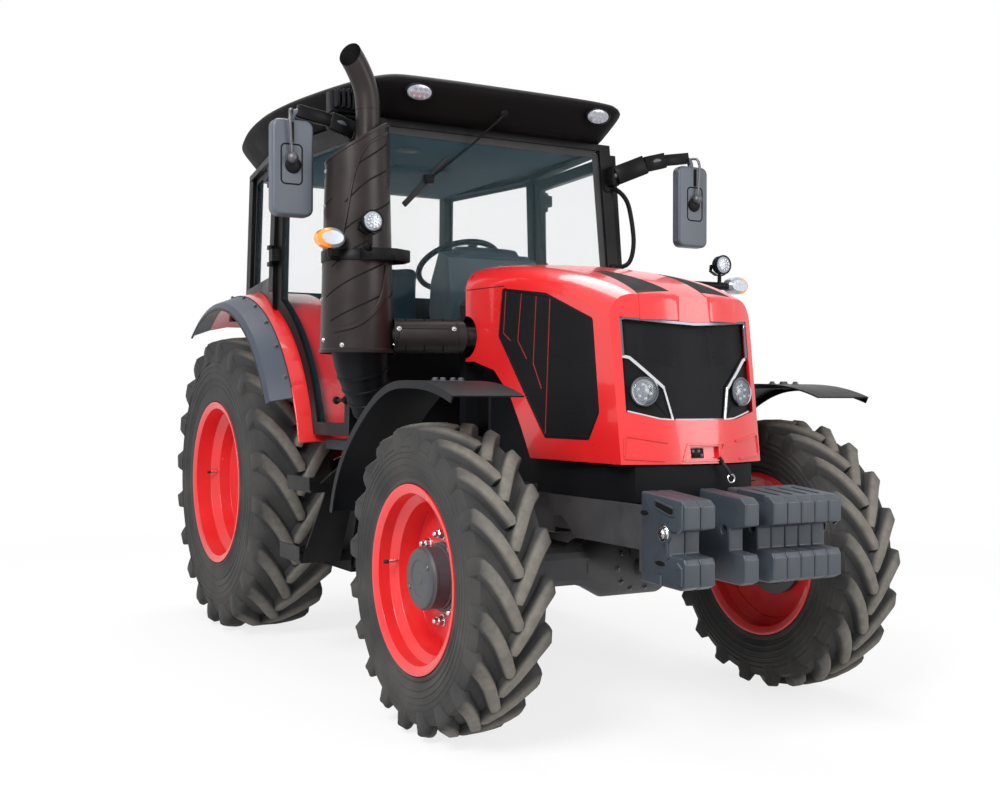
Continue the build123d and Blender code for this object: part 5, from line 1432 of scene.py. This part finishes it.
def makeCabTrim():
    # headliner, glass bands, wiper, grab rails and the lamp on the roof's edge
    liner = Maker("headliner")
    liner.box(spot(-0.30, -0.53, 2.338), spot(1.205, 0.53, 2.3756), "cabTeal")
    liner.box(spot(0.86, -0.31, 2.326), spot(0.94, -0.21, 2.339), "dashGrey")
    liner.box(spot(0.30, -0.16, 2.322), spot(0.52, 0.16, 2.339), "cabTeal")
    liner.piece("chassis", "black_plastic", bevel=0.006)
    bands = Maker("glassBands")

    def frameGlass(corners, direction, width):
        for first, second in zip(corners, corners[1:] + corners[:1]):
            track = traced("cab_glass", [first, second], direction, 0.1)
            bands.strip(track, width, cabSizes["bandHeight"], "trimRubber")
    screen = ((-0.588, 1.436), (0.588, 1.436), (0.541, 2.328), (-0.541, 2.328))
    frameGlass([spot(2.0, y, z) for y, z in screen], (-1, 0, 0), 0.034)
    for hand in (1, -1):
        pane = ((0.375, 1.76), (-0.345, 1.76), (-0.325, 2.335), (0.38, 2.335))
        frameGlass([spot(x, hand * 2, z) for x, z in pane], (0, -hand, 0), 0.026)
    bands.piece("chassis", "black_plastic")
    wiper = Maker("wiper")
    base, facing = touch("roof", spot(2.4, -0.02, 2.44), (-1, 0, 0))
    wiper.lathe([(0.024, -0.01), (0.024, 0.010), (0.018, 0.022), (0, 0.026)], base, facing, "blackPlastic",
                20)
    ends = [spot(2.4, y, z) for y, z in ((-0.133, 2.30), (-0.469, 2.003), (-0.250, 2.225))]
    rest, far, near = (place for place, normal in touches("cab_glass", ends, (-1, 0, 0)))
    lift, joint = Vector((0.018, 0, 0.001)), near.lerp(far, 0.45)
    wiper.tube([base + facing * 0.018, base + Vector((0.014, -0.04, -0.05)), rest + lift * 1.9,
                joint + lift * 1.6],
               0.006, "blackPaint", side=(0.007, 0.004))
    wiper.tube([place + lift * 0.7 for place in (near, near.lerp(far, 0.5), far)], 0.004, "rubberSeal",
               side=(0.0055, 0.012))
    wiper.box(joint - Vector((0.002, 0.02, 0.02)), joint + Vector((0.034, 0.02, 0.02)), "blackPlastic")
    wiper.piece("chassis", "black_plastic", bevel=0.001)
    rails = Maker("grabRails")
    for hand in (1, -1):
        bends = ((1.294, 0.605, 2.17), (1.318, 0.635, 2.163), (1.338, 0.676, 2.12), (1.348, 0.698, 2.05),
                 (1.362, 0.708, 1.91), (1.350, 0.690, 1.815), (1.318, 0.635, 1.785))
        path = smooth([(x, hand * y, z) for x, y, z in bends], 0.02)
        rails.tube([spot(*point) for point in path], 0.011, "blackPaint", 14)
        for z in (2.17, 1.785):
            foot = pillarAt(z, hand) + Vector((0.030, 0, 0))
            rails.lathe([(0.022, -0.004), (0.022, 0.006), (0.012, 0.010), (0, 0.010)], foot, (1, 0, 0),
                        "blackPaint", 16)
    rails.piece("chassis", "black_paint")
    lamp = Maker("sideLamp")
    wall = touch("roof", spot(1.17, -2.0, 2.43), (0, 1, 0))[0]
    outer = wall.y - 0.135
    for k in range(5):
        y, low, high = wall.y - 0.025 - 0.024 * k, 2.405 + 0.002 * k, (2.503, 2.497, 2.493, 2.489, 2.485)[k]
        lamp.box(spot(1.15, y - 0.007, low), spot(1.245, y + 0.007, high), "blackPlastic")
    lamp.box(spot(1.13, outer, 2.400), spot(1.20, wall.y - 0.012, 2.492), "blackPlastic")
    lamp.box(spot(1.124, outer + 0.008, 2.408), spot(1.131, wall.y - 0.02, 2.484), "clearLens")
    lamp.box(spot(1.15, outer + 0.03, 2.382), spot(1.19, wall.y + 0.03, 2.394), "blackPaint")
    lamp.box(spot(1.16, wall.y - 0.06, 2.385), spot(1.18, wall.y - 0.045, 2.41), "blackPaint")
    lamp.piece("chassis", "black_plastic", bevel=0.002)
    print("cab trim made")


mirrorSizes = {
    "back": (1.430, 1.020, 2.108), "panelHalf": (0.044, 0.080), "panelCorner": 0.018, "ball": 0.024,
    "rodR": 0.0062,
    "rod": ((1.407, 1.010, 2.328), (1.432, 1.028, 2.326), (1.448, 1.034, 2.290), (1.448, 1.030, 2.210),
            (1.446, 1.023, 2.130)),
    "glass": ((1.3785, 1.3805), 1.0125, 0.076, (1.915, 2.275)),
    "arm": ((1.300, 0.612, 2.220), (1.352, 0.614, 2.221), (1.398, 0.745, 2.278), (1.409, 0.85, 2.306),
            (1.406, 0.99, 2.330)),
    "armHalf": 0.017, "armHeights": (0.046, 0.044, 0.036, 0.026),
}


def makeMirrors():
    # inset panel outlined in painted shade, ball and rod on the mirrors' backs, a slot of painted shade, and
    # the glass behind
    backs = Maker("mirrorBacks")
    glass = Maker("mirrorGlass")
    arms = Maker("mirrorArms")
    ahead = Vector((1, 0, 0))
    (wide, tall), corner, ballR = mirrorSizes["panelHalf"], mirrorSizes["panelCorner"], mirrorSizes["ball"]
    for hand in (1, -1):
        x, y, z = mirrorSizes["back"]
        middle = spot(x, hand * y, z)
        loop = []
        for cy, cz, first in ((1, 1, 0), (-1, 1, 90), (-1, -1, 180), (1, -1, 270)):
            for k in range(7):
                a = math.radians(first + 15 * k)
                shift = Vector((0, cy * (wide - corner) + corner * math.cos(a),
                                cz * (tall - corner) + corner * math.sin(a)))
                loop.append((middle + shift, ahead))
        # the panel's outline is a near-black band of painted shade for its groove
        backs.strip(loop, 0.006, 0.0016, "paintedShadeBlack", True)
        arc = [math.radians(a) for a in range(0, 181, 15)]
        ball = [(ballR * math.sin(a), -ballR * math.cos(a)) for a in arc]
        backs.lathe(ball, middle + Vector((0.016, hand * 0.002, 0.022)), ahead, "darkSteel", 24)
        backs.lathe([(0.034, -0.001), (0.032, 0.008), (0.020, 0.014), (0, 0.015)],
                    middle + Vector((0, -hand * 0.006, -0.004)), ahead, "blackPlastic", 24)
        # near-black slot: painted shade
        backs.box(middle + Vector((-0.002, -0.008, 0.088)), middle + Vector((0.0025, 0.008, 0.168)),
                  "paintedShadeBlack")
        rod = smooth([(x, hand * y, z) for x, y, z in mirrorSizes["rod"]], 0.02)
        backs.tube([spot(*point) for point in rod], mirrorSizes["rodR"], "darkSteel", 14)
        (rear, front), y, half, (low, high) = mirrorSizes["glass"]
        glass.box(spot(rear, hand * y - half, low), spot(front, hand * y + half, high), "mirrorGlass")
        path = [spot(x, hand * y, z) for x, y, z in mirrorSizes["arm"]]
        for first, second, height in zip(path, path[1:], mirrorSizes["armHeights"]):
            arms.tube([first, second], 0.01, "blackPaint", side=(mirrorSizes["armHalf"], height))
    backs.piece("chassis", "black_plastic")
    glass.piece("chassis", "glass", bevel=0.0004)
    arms.piece("chassis", "black_paint", bevel=0.003)
    print("mirrors dressed")


def makeInside():
    # dash hood and gauges, column cover, levers and the side consoles
    dash = Maker("dashTop")
    dash.lathe([(0.0, -0.165), (0.035, -0.165), (0.056, -0.150), (0.060, -0.10), (0.060, 0.10),
                (0.056, 0.150), (0.035, 0.165), (0.0, 0.165)],
               spot(1.182, 0, 1.800), (0, 1, 0), "dashDark", 28)
    for y, size in ((-0.085, 0.050), (0.0, 0.036), (0.085, 0.050)):
        dash.lathe([(size, -0.008), (size, 0.004), (size * 0.86, 0.005), (size * 0.84, 0.001), (0, 0.001)],
                   spot(1.124, y, 1.764), (-0.84, 0, 0.53), "dashDark", 28)
    dash.piece("chassis", "black_plastic", bevel=0.004)
    sides = Maker("consoles")
    sides.box(spot(0.02, -0.455, 1.155), spot(0.52, -0.285, 1.40), "dashGrey")
    sides.box(spot(0.02, 0.300, 1.155), spot(0.40, 0.455, 1.36), "dashGrey")
    for x, y, high in ((0.42, -0.36, 1.56), (0.32, -0.40, 1.52), (0.30, 0.38, 1.50)):
        sides.tube([spot(x - 0.02, y, 1.355), spot(x, y, high - 0.05)], 0.007, "darkSteel", 10)
        sides.lathe([(0.0, -0.03), (0.012, -0.026), (0.017, 0.0), (0.014, 0.022), (0, 0.028)],
                    spot(x + 0.004, y, high - 0.03), (0.1, 0, 1), "blackPlastic", 16)
    for y in (-0.13, -0.05, 0.14):
        sides.box(spot(1.10, y - 0.03, 1.08), spot(1.13, y + 0.03, 1.14), "blackPlastic")
        sides.tube([spot(1.128, y, 1.10), spot(1.20, y, 1.13)], 0.008, "darkSteel", 10)
    sides.piece("chassis", "black_plastic", bevel=0.012)
    print("cab inside made")


def makeDoors():
    # latch boss, lever and knob of each door
    for side, hand in handOf.items():
        body = "door_" + side
        trim = Maker("doorTrim_" + side)
        out = Vector((0, hand, 0))
        for at, normal in touches(body, [spot(1.302, hand * 2, 1.16)], (0, -hand, 0)):
            end = at + out * 0.024 + Vector((0, 0, -0.002))
            trim.lathe([(0.016, -0.004), (0.016, 0.018), (0.012, 0.022), (0, 0.022)], at, out, "blackPlastic",
                       16)
            trim.tube([at + out * 0.018, end + Vector((-0.06, 0, 0))], 0.008, "blackPlastic", 12)
            trim.lathe([(0.0, -0.018), (0.014, -0.012), (0.018, 0.0), (0.014, 0.012), (0, 0.018)],
                       end + Vector((-0.068, 0, 0)), (1, 0, 0), "blackPlastic", 16)
        trim.piece(body, "black_plastic")


roofShape = {
    # half of the plan ahead of the rear axle, then how far each ring is drawn in and its height
    "half": ((1.446, 0.0), (1.445, 0.25), (1.437, 0.46), (1.424, 0.555), (1.392, 0.604), (1.33, 0.645),
             (1.20, 0.690), (1.0, 0.738), (0.72, 0.785),
             (0.42, 0.802), (0.12, 0.775), (-0.18, 0.715), (-0.36, 0.660), (-0.435, 0.600), (-0.468, 0.48),
             (-0.480, 0.25), (-0.484, 0.0)),
    "rings": ((0.092, 2.3756), (0.072, 2.398), (0.044, 2.436), (0.016, 2.476), (0.003, 2.498), (0.0, 2.510),
              (0.005, 2.522), (0.020, 2.536),
              (0.055, 2.549), (0.110, 2.560), (0.20, 2.569), (0.34, 2.5785), (0.50, 2.5804)),
    "middle": 0.48, "reach": (0.964, 0.80),
}


def makeRoof():
    # smooth dome over the plain roof's plan
    half = [Vector((x, y, 0)) for x, y in roofShape["half"]]
    loop = half + [Vector((p.x, -p.y, 0)) for p in half[-2:0:-1]]
    count, fine = len(loop), []
    for k in range(count):
        corners = [loop[(k + step) % count] for step in (-1, 0, 1, 2)]
        fine += [blended(*corners, i / 4) for i in range(4)]
    middle, (long, wide), points = roofShape["middle"], roofShape["reach"], []
    for draw, z in roofShape["rings"]:
        points += [spot(middle + (p.x - middle) * (1 - draw / long), p.y * (1 - draw / wide), z)
                   for p in fine]
    rings = ringRows(len(roofShape["rings"]), len(fine))
    shell = Maker("roofShell")
    shell.add(points, bridged(rings) + [rings[0][::-1], rings[-1]], "roofBlack")
    shell.piece("chassis", "black_paint", ("roof",), angle=60)
    print("roof shaped")


makeRoof()
makeCabTrim()
makeMirrors()
makeInside()
makeDoors()


seatShape = {"voxel": 0.006, "quickVoxel": 0.012, "pressure": 4.0, "stiffness": 25, "frames": 20,
             "cap": 0.016}


def cushionOf(name, low, high, rounding, crown):
    # closed pad between two corners, swollen by cloth under pressure, its face crowned
    form = bmesh.new()
    bmesh.ops.create_cube(form, size=1.0)
    size, middle = high - low, (high + low) / 2
    bmesh.ops.scale(form, vec=size, verts=form.verts)
    bmesh.ops.bevel(form, geom=form.edges[:], offset=rounding, segments=4, affect="EDGES", profile=0.5)
    bmesh.ops.translate(form, vec=middle, verts=form.verts)
    mesh = bpy.data.meshes.new(name)
    form.to_mesh(mesh)
    form.free()

    def build(holder):
        remesh = holder.modifiers.new("grain", "REMESH")
        remesh.mode = "VOXEL"
        remesh.voxel_size = seatShape["voxel"]
    settled = evaluated(mesh, build)
    piece = addObject(name, settled)
    rest = [v.co.copy() for v in settled.vertices]
    cloth = piece.modifiers.new("swell", "CLOTH")
    cloth.settings.use_pressure = True
    cloth.settings.uniform_pressure_force = seatShape["pressure"]
    cloth.settings.effector_weights.gravity = 0.0
    cloth.settings.tension_stiffness = cloth.settings.compression_stiffness = seatShape["stiffness"]
    cloth.point_cache.frame_start, cloth.point_cache.frame_end = 1, seatShape["frames"]
    for step in range(1, seatShape["frames"] + 1):
        scene.frame_set(step)
    swollen = piece.evaluated_get(bpy.context.evaluated_depsgraph_get()).to_mesh()
    moved = [v.co.copy() for v in swollen.vertices]
    piece.modifiers.clear()
    scene.frame_set(1)
    for vertex, first, second in zip(settled.vertices, rest, moved):
        shift = second - first
        vertex.co = first + (shift if shift.length < seatShape["cap"]
                             else shift.normalized() * seatShape["cap"])
    for vertex in settled.vertices:
        share = [(vertex.co[k] - middle[k]) / (size[k] / 2) for k in range(3)]
        bulge = max(0.0, 1 - share[1] ** 2)
        vertex.co += crown * bulge * max(0.0, 1 - (share[0] if abs(crown.z) > abs(crown.x)
                                                   else share[2]) ** 2)
    settled.materials.clear()
    settled.materials.append(finishes["seatCloth"])
    settled.polygons.foreach_set("use_smooth", [True] * len(settled.polygons))
    smoother = piece.modifiers.new("finer", "SUBSURF")
    smoother.levels = smoother.render_levels = 1
    return piece


def makeSeat():
    # two padded cushions and the carrier with its bellows under them
    base = cushionOf("seatCushion", spot(0.035, -0.225, 1.305), spot(0.468, 0.225, 1.405), 0.035,
                     Vector((0, 0, 0.012)))
    back = cushionOf("seatBack", spot(-0.045, -0.215, 1.435), spot(0.048, 0.215, 1.885), 0.038,
                     Vector((0.012, 0, 0)))
    for piece in (base, back):
        settle(piece, "chassis", ("seat",))
    carrier = Maker("seatCarrier")
    carrier.box(spot(0.08, -0.16, 1.1555), spot(0.34, 0.16, 1.215), "blackPlastic")
    carrier.box(spot(0.10, -0.14, 1.215), spot(0.32, 0.14, 1.265), "rubberSeal")
    carrier.box(spot(0.05, -0.20, 1.262), spot(0.44, 0.20, 1.312), "blackPlastic")
    carrier.box(spot(-0.058, -0.17, 1.27), spot(0.06, 0.17, 1.312), "blackPlastic")
    carrier.box(spot(-0.060, -0.17, 1.27), spot(-0.030, 0.17, 1.84), "blackPlastic")
    for k in range(4):
        carrier.box(spot(0.094, -0.146, 1.217 + 0.012 * k), spot(0.326, 0.146, 1.223 + 0.012 * k),
                    "rubberSeal")
    carrier.piece("chassis", "black_plastic", ("seat",), bevel=0.006)
    print("seat padded")


makeSeat()


fenderShape = {"axleZ": 0.738, "seamY": 0.800, "trimY": 0.694, "radius": 0.970, "front": 16, "rear": 121}


def overWheel(degrees, radius, y, lean=0.0):
    # point round the rear axle with a normal leaning out by some degrees
    a, b = math.radians(degrees), math.radians(lean)
    normal = Vector((math.cos(a) * math.cos(b), math.copysign(math.sin(b), y), math.sin(a) * math.cos(b)))
    return spot(radius * math.cos(a), y, fenderShape["axleZ"] + radius * math.sin(a)), normal


def makeFenders():
    # seam trims and bolts of the rear fenders, and bolts on the front guards
    trims = Maker("fenderTrims")
    low, high, radius = fenderShape["front"], fenderShape["rear"], fenderShape["radius"]
    for hand in (1, -1):
        arc = [low + (high - low) * k / 44 for k in range(45)]
        trims.strip([overWheel(a, radius, hand * fenderShape["trimY"]) for a in arc if a < 84], 0.016, 0.006,
                    "trimRubber")
        trims.strip([overWheel(a, radius, hand * (fenderShape["trimY"] - 0.014)) for a in arc if a < 84],
                    0.004, 0.003, "darkChrome")
        trims.strip([overWheel(a, radius - 0.0245, hand * (fenderShape["seamY"] + 0.001), 12)
                     for a in arc if a > 28], 0.006, 0.0025, "trimRubber")
        trims.strip([overWheel(a, radius - 0.094, hand * 0.9075, 60) for a in arc if a > 28], 0.014, 0.004,
                    "trimRubber")
    trims.piece("chassis", "black_plastic")
    heads = [overWheel(34 + 11.5 * k, radius - 0.0275, hand * 0.817, 18) for hand in (1, -1)
             for k in range(8)]
    makeBolts("fenderBolts", heads, 0.0065, "chassis", "darkSteel")
    for side, hand in handOf.items():
        starts = [spot(x, hand * y, 2.0) for x in (2.30, 2.36) for y in (0.735, 0.805)]
        places = touches("front_fender_" + side, starts, (0, 0, -1))
        makeBolts("guardBolts_" + side, places, 0.010, "knuckle_" + side, "darkSteel")
    print("fenders trimmed")


makeFenders()


def plate(maker, corners, thick, finish):
    # flat plate with its face through three or more corners
    corners = [Vector(corner) for corner in corners]
    normal = (corners[1] - corners[0]).cross(corners[2] - corners[0]).normalized()
    count = len(corners)
    points = [c + normal * thick / 2 for c in corners] + [c - normal * thick / 2 for c in corners]
    faces = [list(range(count)), list(range(2 * count - 1, count - 1, -1))]
    faces += [[k, k + count, (k + 1) % count + count, (k + 1) % count] for k in range(count)]
    return maker.add(points, faces, finish)


def sideBox(maker, hand, low, high, finish):
    # box given for the left, or its mirror image on the right
    near, far = sorted((hand * low[1], hand * high[1]))
    maker.box(spot(low[0], near, low[2]), spot(high[0], far, high[2]), finish)


ladderSizes = {
    "plates": (((1.158, 0.878, 0.462), (1.158, 0.700, 0.462), (1.278, 0.676, 0.808), (1.278, 0.800, 0.808)),
               ((1.279, 0.840, 0.806), (1.279, 0.660, 0.806), (1.332, 0.660, 0.942), (1.332, 0.700, 0.942))),
    "thick": 0.008,
    # opposite corners: two tread edges, then the box's side, back and floor
    "boxes": (((0.905, 0.878, 0.470), (1.156, 0.884, 0.530)), ((1.005, 0.878, 0.780), (1.276, 0.884, 0.832)),
              ((0.78, 0.628, 0.405), (1.14, 0.640, 0.672)), ((0.78, 0.40, 0.405), (0.792, 0.634, 0.672)),
              ((0.78, 0.40, 0.405), (1.14, 0.634, 0.417))),
    "treads": ((0.915, 1.150, 0.500), (1.015, 1.270, 0.810)), "teeth": 9, "trimHeights": (0.50, 0.56, 0.62),
}


def makeLadders():
    # front plates of the steps, their treads' teeth and the panel on the box beside them
    ladder = Maker("ladderPlates")
    heads, last = [], ladderSizes["teeth"] - 1
    for hand in (1, -1):
        for corners in ladderSizes["plates"]:
            plate(ladder, [spot(x, hand * y, z) for x, y, z in corners], ladderSizes["thick"], "blackPaint")
        for low, high in ladderSizes["boxes"]:
            sideBox(ladder, hand, low, high, "blackPaint")
        for rear, front, z in ladderSizes["treads"]:
            for k in range(ladderSizes["teeth"]):
                x = rear + (front - rear) * k / last
                sideBox(ladder, hand, (x - 0.004, 0.67, z - 0.001), (x + 0.004, 0.872, z + 0.006),
                        "blackPaint")
        for x, z in ((0.82, 0.63), (0.92, 0.63), (0.82, 0.45), (0.92, 0.45)):
            heads.append((spot(x, hand * 0.640, z), Vector((0, hand, 0))))
        for y, z in ((0.72, 0.90), (0.72, 0.84)):
            share = (z - 0.806) / 0.136
            place = spot(1.279 + 0.053 * share + 0.004, hand * y * (1 - 0.03 * share), z)
            heads.append((place, Vector((0.93, 0, -0.36))))
    ladder.piece("chassis", "black_paint")
    makeBolts("ladderBolts", heads, 0.008, "chassis", "darkSteel")
    boxes = Maker("boxTrim")
    for hand in (1, -1):
        for z in ladderSizes["trimHeights"]:
            sideBox(boxes, hand, (1.16, 0.626, z), (1.56, 0.634, z + 0.018), "blackPlastic")
    boxes.lathe([(0.045, -0.012), (0.045, 0.022), (0.040, 0.028), (0, 0.030)], spot(1.30, 0.48, 0.690),
                (0, 0, 1), "blackPlastic", 28)
    boxes.piece("chassis", "black_plastic", bevel=0.004)
    print("steps dressed")


axleSizes = {"z": 0.543, "x": 2.300, "kingpinY": 0.600, "capCircle": 0.045, "cover": (0.11, 0.085),
             "coverBolts": 10}


def makeAxleParts():
    # bolts of the axle's differential cover and of the knuckles' caps
    (wide, tall), z = axleSizes["cover"], axleSizes["z"]
    starts = [spot(3.2, wide * math.cos(a), z + tall * math.sin(a)) for a in circle(axleSizes["coverBolts"])]
    makeBolts("axleBolts", touches("front_axle", starts, (-1, 0, 0)), 0.009, "chassis", "darkSteel")
    for side, hand in handOf.items():
        caps, size = [], axleSizes["capCircle"]
        for k in range(4):
            a = math.radians(45 + 90 * k)
            x, y = axleSizes["x"] + size * math.cos(a), hand * axleSizes["kingpinY"] + size * math.sin(a)
            for direction, start in ((-1, 1.5), (1, 0.0)):
                hits = touches("knuckle_" + side, [spot(x, y, start)], (0, 0, direction))
                caps += [hit for hit in hits if abs(hit[1].z) > 0.9 and abs(hit[0].z - z) < 0.2]
        makeBolts("kingpinBolts_" + side, caps, 0.008, "knuckle_" + side, "darkSteel")
    print("axle dressed")


makeLadders()
makeAxleParts()


def makeRear():
    # tail lamps, plate holder, rear wiper and couplers, all guessed
    lamps = Maker("tailLamps")
    for hand in (1, -1):
        at = overWheel(114, 0.972, hand * 0.62)[0] + Vector((-0.012, 0, 0))
        lamps.box(at + Vector((-0.060, -0.085, -0.045)), at + Vector((0.02, 0.085, 0.060)), "blackPlastic")
        for k, finish in enumerate(("redLens", "redLens", "amberLens")):
            y = hand * (-0.052 + 0.052 * k)
            lamps.box(at + Vector((-0.068, y - 0.023, -0.035)), at + Vector((-0.059, y + 0.023, 0.048)),
                      finish)
    lamps.piece("chassis", "lamp_lens", bevel=0.004)
    holder = Maker("plateHolder")
    at = touch("cab_frame", spot(-2.0, 0.0, 1.60), (1, 0, 0))[0]
    holder.box(at + Vector((-0.014, -0.16, -0.06)), at + Vector((0.002, 0.16, 0.06)), "blackPlastic")
    holder.box(at + Vector((-0.017, -0.15, -0.052)), at + Vector((-0.013, 0.15, 0.052)), "weightGrey")
    holder.piece("chassis", "black_plastic", bevel=0.003)
    rearWiper = Maker("rearWiper")
    ends = [spot(-2.0, 0.0, 2.28), spot(-2.0, 0.20, 1.92)]
    pane, low = (place for place, normal in touches("cab_glass", ends, (1, 0, 0)))
    blade = Vector((-0.0095, 0, 0))
    rearWiper.lathe([(0.02, -0.004), (0.02, 0.012), (0.012, 0.02), (0, 0.02)], pane, (-1, 0, 0),
                    "blackPlastic", 20)
    rearWiper.tube([pane + Vector((-0.016, 0, 0)), pane.lerp(low, 0.7) + Vector((-0.018, 0, 0))], 0.005,
                   "blackPaint",
                   side=(0.006, 0.004))
    rearWiper.tube([pane.lerp(low, 0.35) + blade, low + blade], 0.005, "rubberSeal", side=(0.005, 0.0095))
    rearWiper.piece("chassis", "black_plastic", bevel=0.001)
    valves, start = Maker("couplers"), spot(-2.0, 0.17, 0.86)
    back = touch("rear_axle", start, (1, 0, 0)) or touch("transmission", start, (1, 0, 0))
    at = Vector((back[0].x, start.y, start.z))
    valves.box(at + Vector((-0.09, -0.07, -0.05)), at + Vector((0.01, 0.07, 0.05)), "greyCasting")
    socket = [(0.017, -0.005), (0.017, 0.02), (0.020, 0.022), (0.020, 0.034), (0.012, 0.036), (0.011, 0.01),
              (0, 0.01)]
    for dy in (-0.035, 0.035):
        for dz in (-0.022, 0.022):
            valves.lathe(socket, at + Vector((-0.09, dy, dz)), (-1, 0, 0), "steel", 20)
    valves.piece("chassis", "grey_casting", bevel=0.003)
    print("rear dressed")


makeRear()


stageSizes = {"floorHalf": 60.0, "keyPower": 620.0, "fillPower": 170.0, "topPower": 300.0, "skyLevel": 0.42,
              "shadowNear": 2.6, "shadowFar": 6.0, "floorGlow": 0.80}


def seenRays(tree):
    # 1 for rays that show the backdrop, straight, mirrored or through glass
    rays = addNode(tree, "ShaderNodeLightPath")
    seen = addNode(tree, "ShaderNodeMath", operation="MAXIMUM")
    through = addNode(tree, "ShaderNodeMath", operation="MAXIMUM")
    wire(tree, (rays, "Is Camera Ray", seen, 0), (rays, "Is Glossy Ray", seen, 1),
         (seen, "Value", through, 0),
         (rays, "Is Transmission Ray", through, 1))
    return through


def floorFinish():
    # pale ground: seen at near white, still holding the shadow
    tree, shader, place = newFinish("paleFloor")
    setSockets(shader, {"Base Color": (0.9, 0.9, 0.9, 1.0), "Roughness": 0.9})
    glow = addNode(tree, "ShaderNodeEmission")
    share = addNode(tree, "ShaderNodeMath", operation="MULTIPLY")
    far = addNode(tree, "ShaderNodeVectorMath", operation="LENGTH")
    fade = addNode(tree, "ShaderNodeMapRange", {"From Min": stageSizes["shadowNear"],
                                                "From Max": stageSizes["shadowFar"],
                                                "To Min": stageSizes["floorGlow"], "To Max": 1.0})
    mix = addNode(tree, "ShaderNodeMixShader")
    tree.links.new(place, far.inputs[0])
    wire(tree, (far, "Value", fade, "Value"), (seenRays(tree), "Value", share, 0), (fade, "Result", share, 1),
         (share, "Value", mix, "Fac"), (shader, "BSDF", mix, 1), (glow, "Emission", mix, 2),
         (mix, "Shader", tree.nodes["Material Output"], "Surface"))
    return finishes["paleFloor"]


def makeFloor():
    half = stageSizes["floorHalf"]
    mesh = bpy.data.meshes.new("floor")
    mesh.from_pydata([(-half, -half, 0), (half, -half, 0), (half, half, 0), (-half, half, 0)], [],
                     [(0, 1, 2, 3)])
    mesh.materials.append(floorFinish())
    addObject("floor", mesh)


def makeSky():
    world = bpy.data.worlds.new("studio")
    scene.world = world
    world.use_nodes = True
    tree = world.node_tree
    tree.nodes.clear()
    white = (1, 1, 1, 1)
    soft = addNode(tree, "ShaderNodeBackground", {"Color": white, "Strength": stageSizes["skyLevel"]})
    backdrop = addNode(tree, "ShaderNodeBackground", {"Color": white})
    mix = addNode(tree, "ShaderNodeMixShader")
    out = addNode(tree, "ShaderNodeOutputWorld")
    wire(tree, (seenRays(tree), "Value", mix, "Fac"), (soft, "Background", mix, 1),
         (backdrop, "Background", mix, 2), (mix, "Shader", out, "Surface"))


def makeLamp(name, place, aim, size, power):
    light = bpy.data.lights.new(name, "AREA")
    light.shape = "DISK"
    light.size = size
    light.energy = power
    lamp = bpy.data.objects.new(name, light)
    scene.collection.objects.link(lamp)
    lamp.location = place
    lamp.rotation_euler = (Vector(aim) - Vector(place)).to_track_quat("-Z", "Y").to_euler()


def makeCamera():
    # eye, direction and lens fitted to the four wheels in the photo
    view = {"eye": (5.120, -2.705, 1.174), "forward": (-0.87188, 0.48971, -0.00248), "rollDegrees": 0.17,
            "lens": 44.19}
    data = bpy.data.cameras.new("photoCamera")
    data.lens = view["lens"]
    data.sensor_width = 36.0
    camera = bpy.data.objects.new("photoCamera", data)
    scene.collection.objects.link(camera)
    turn = Vector(view["forward"]).to_track_quat("-Z", "Y").to_matrix()
    roll = Matrix.Rotation(math.radians(view["rollDegrees"]), 3, "Z")
    camera.matrix_world = Matrix.Translation(view["eye"]) @ (turn @ roll).to_4x4()
    scene.camera = camera


makeFloor()
makeSky()
makeLamp("keyLamp", (4.5, -5.5, 6.0), (0.4, 0.0, 1.2), 3.5, stageSizes["keyPower"])
makeLamp("fillLamp", (6.5, 3.5, 3.0), (0.8, 0.0, 1.0), 4.0, stageSizes["fillPower"])
makeLamp("topLamp", (-2.0, 0.5, 7.0), (0.0, 0.0, 1.0), 5.0, stageSizes["topPower"])
makeCamera()
print("stage set")
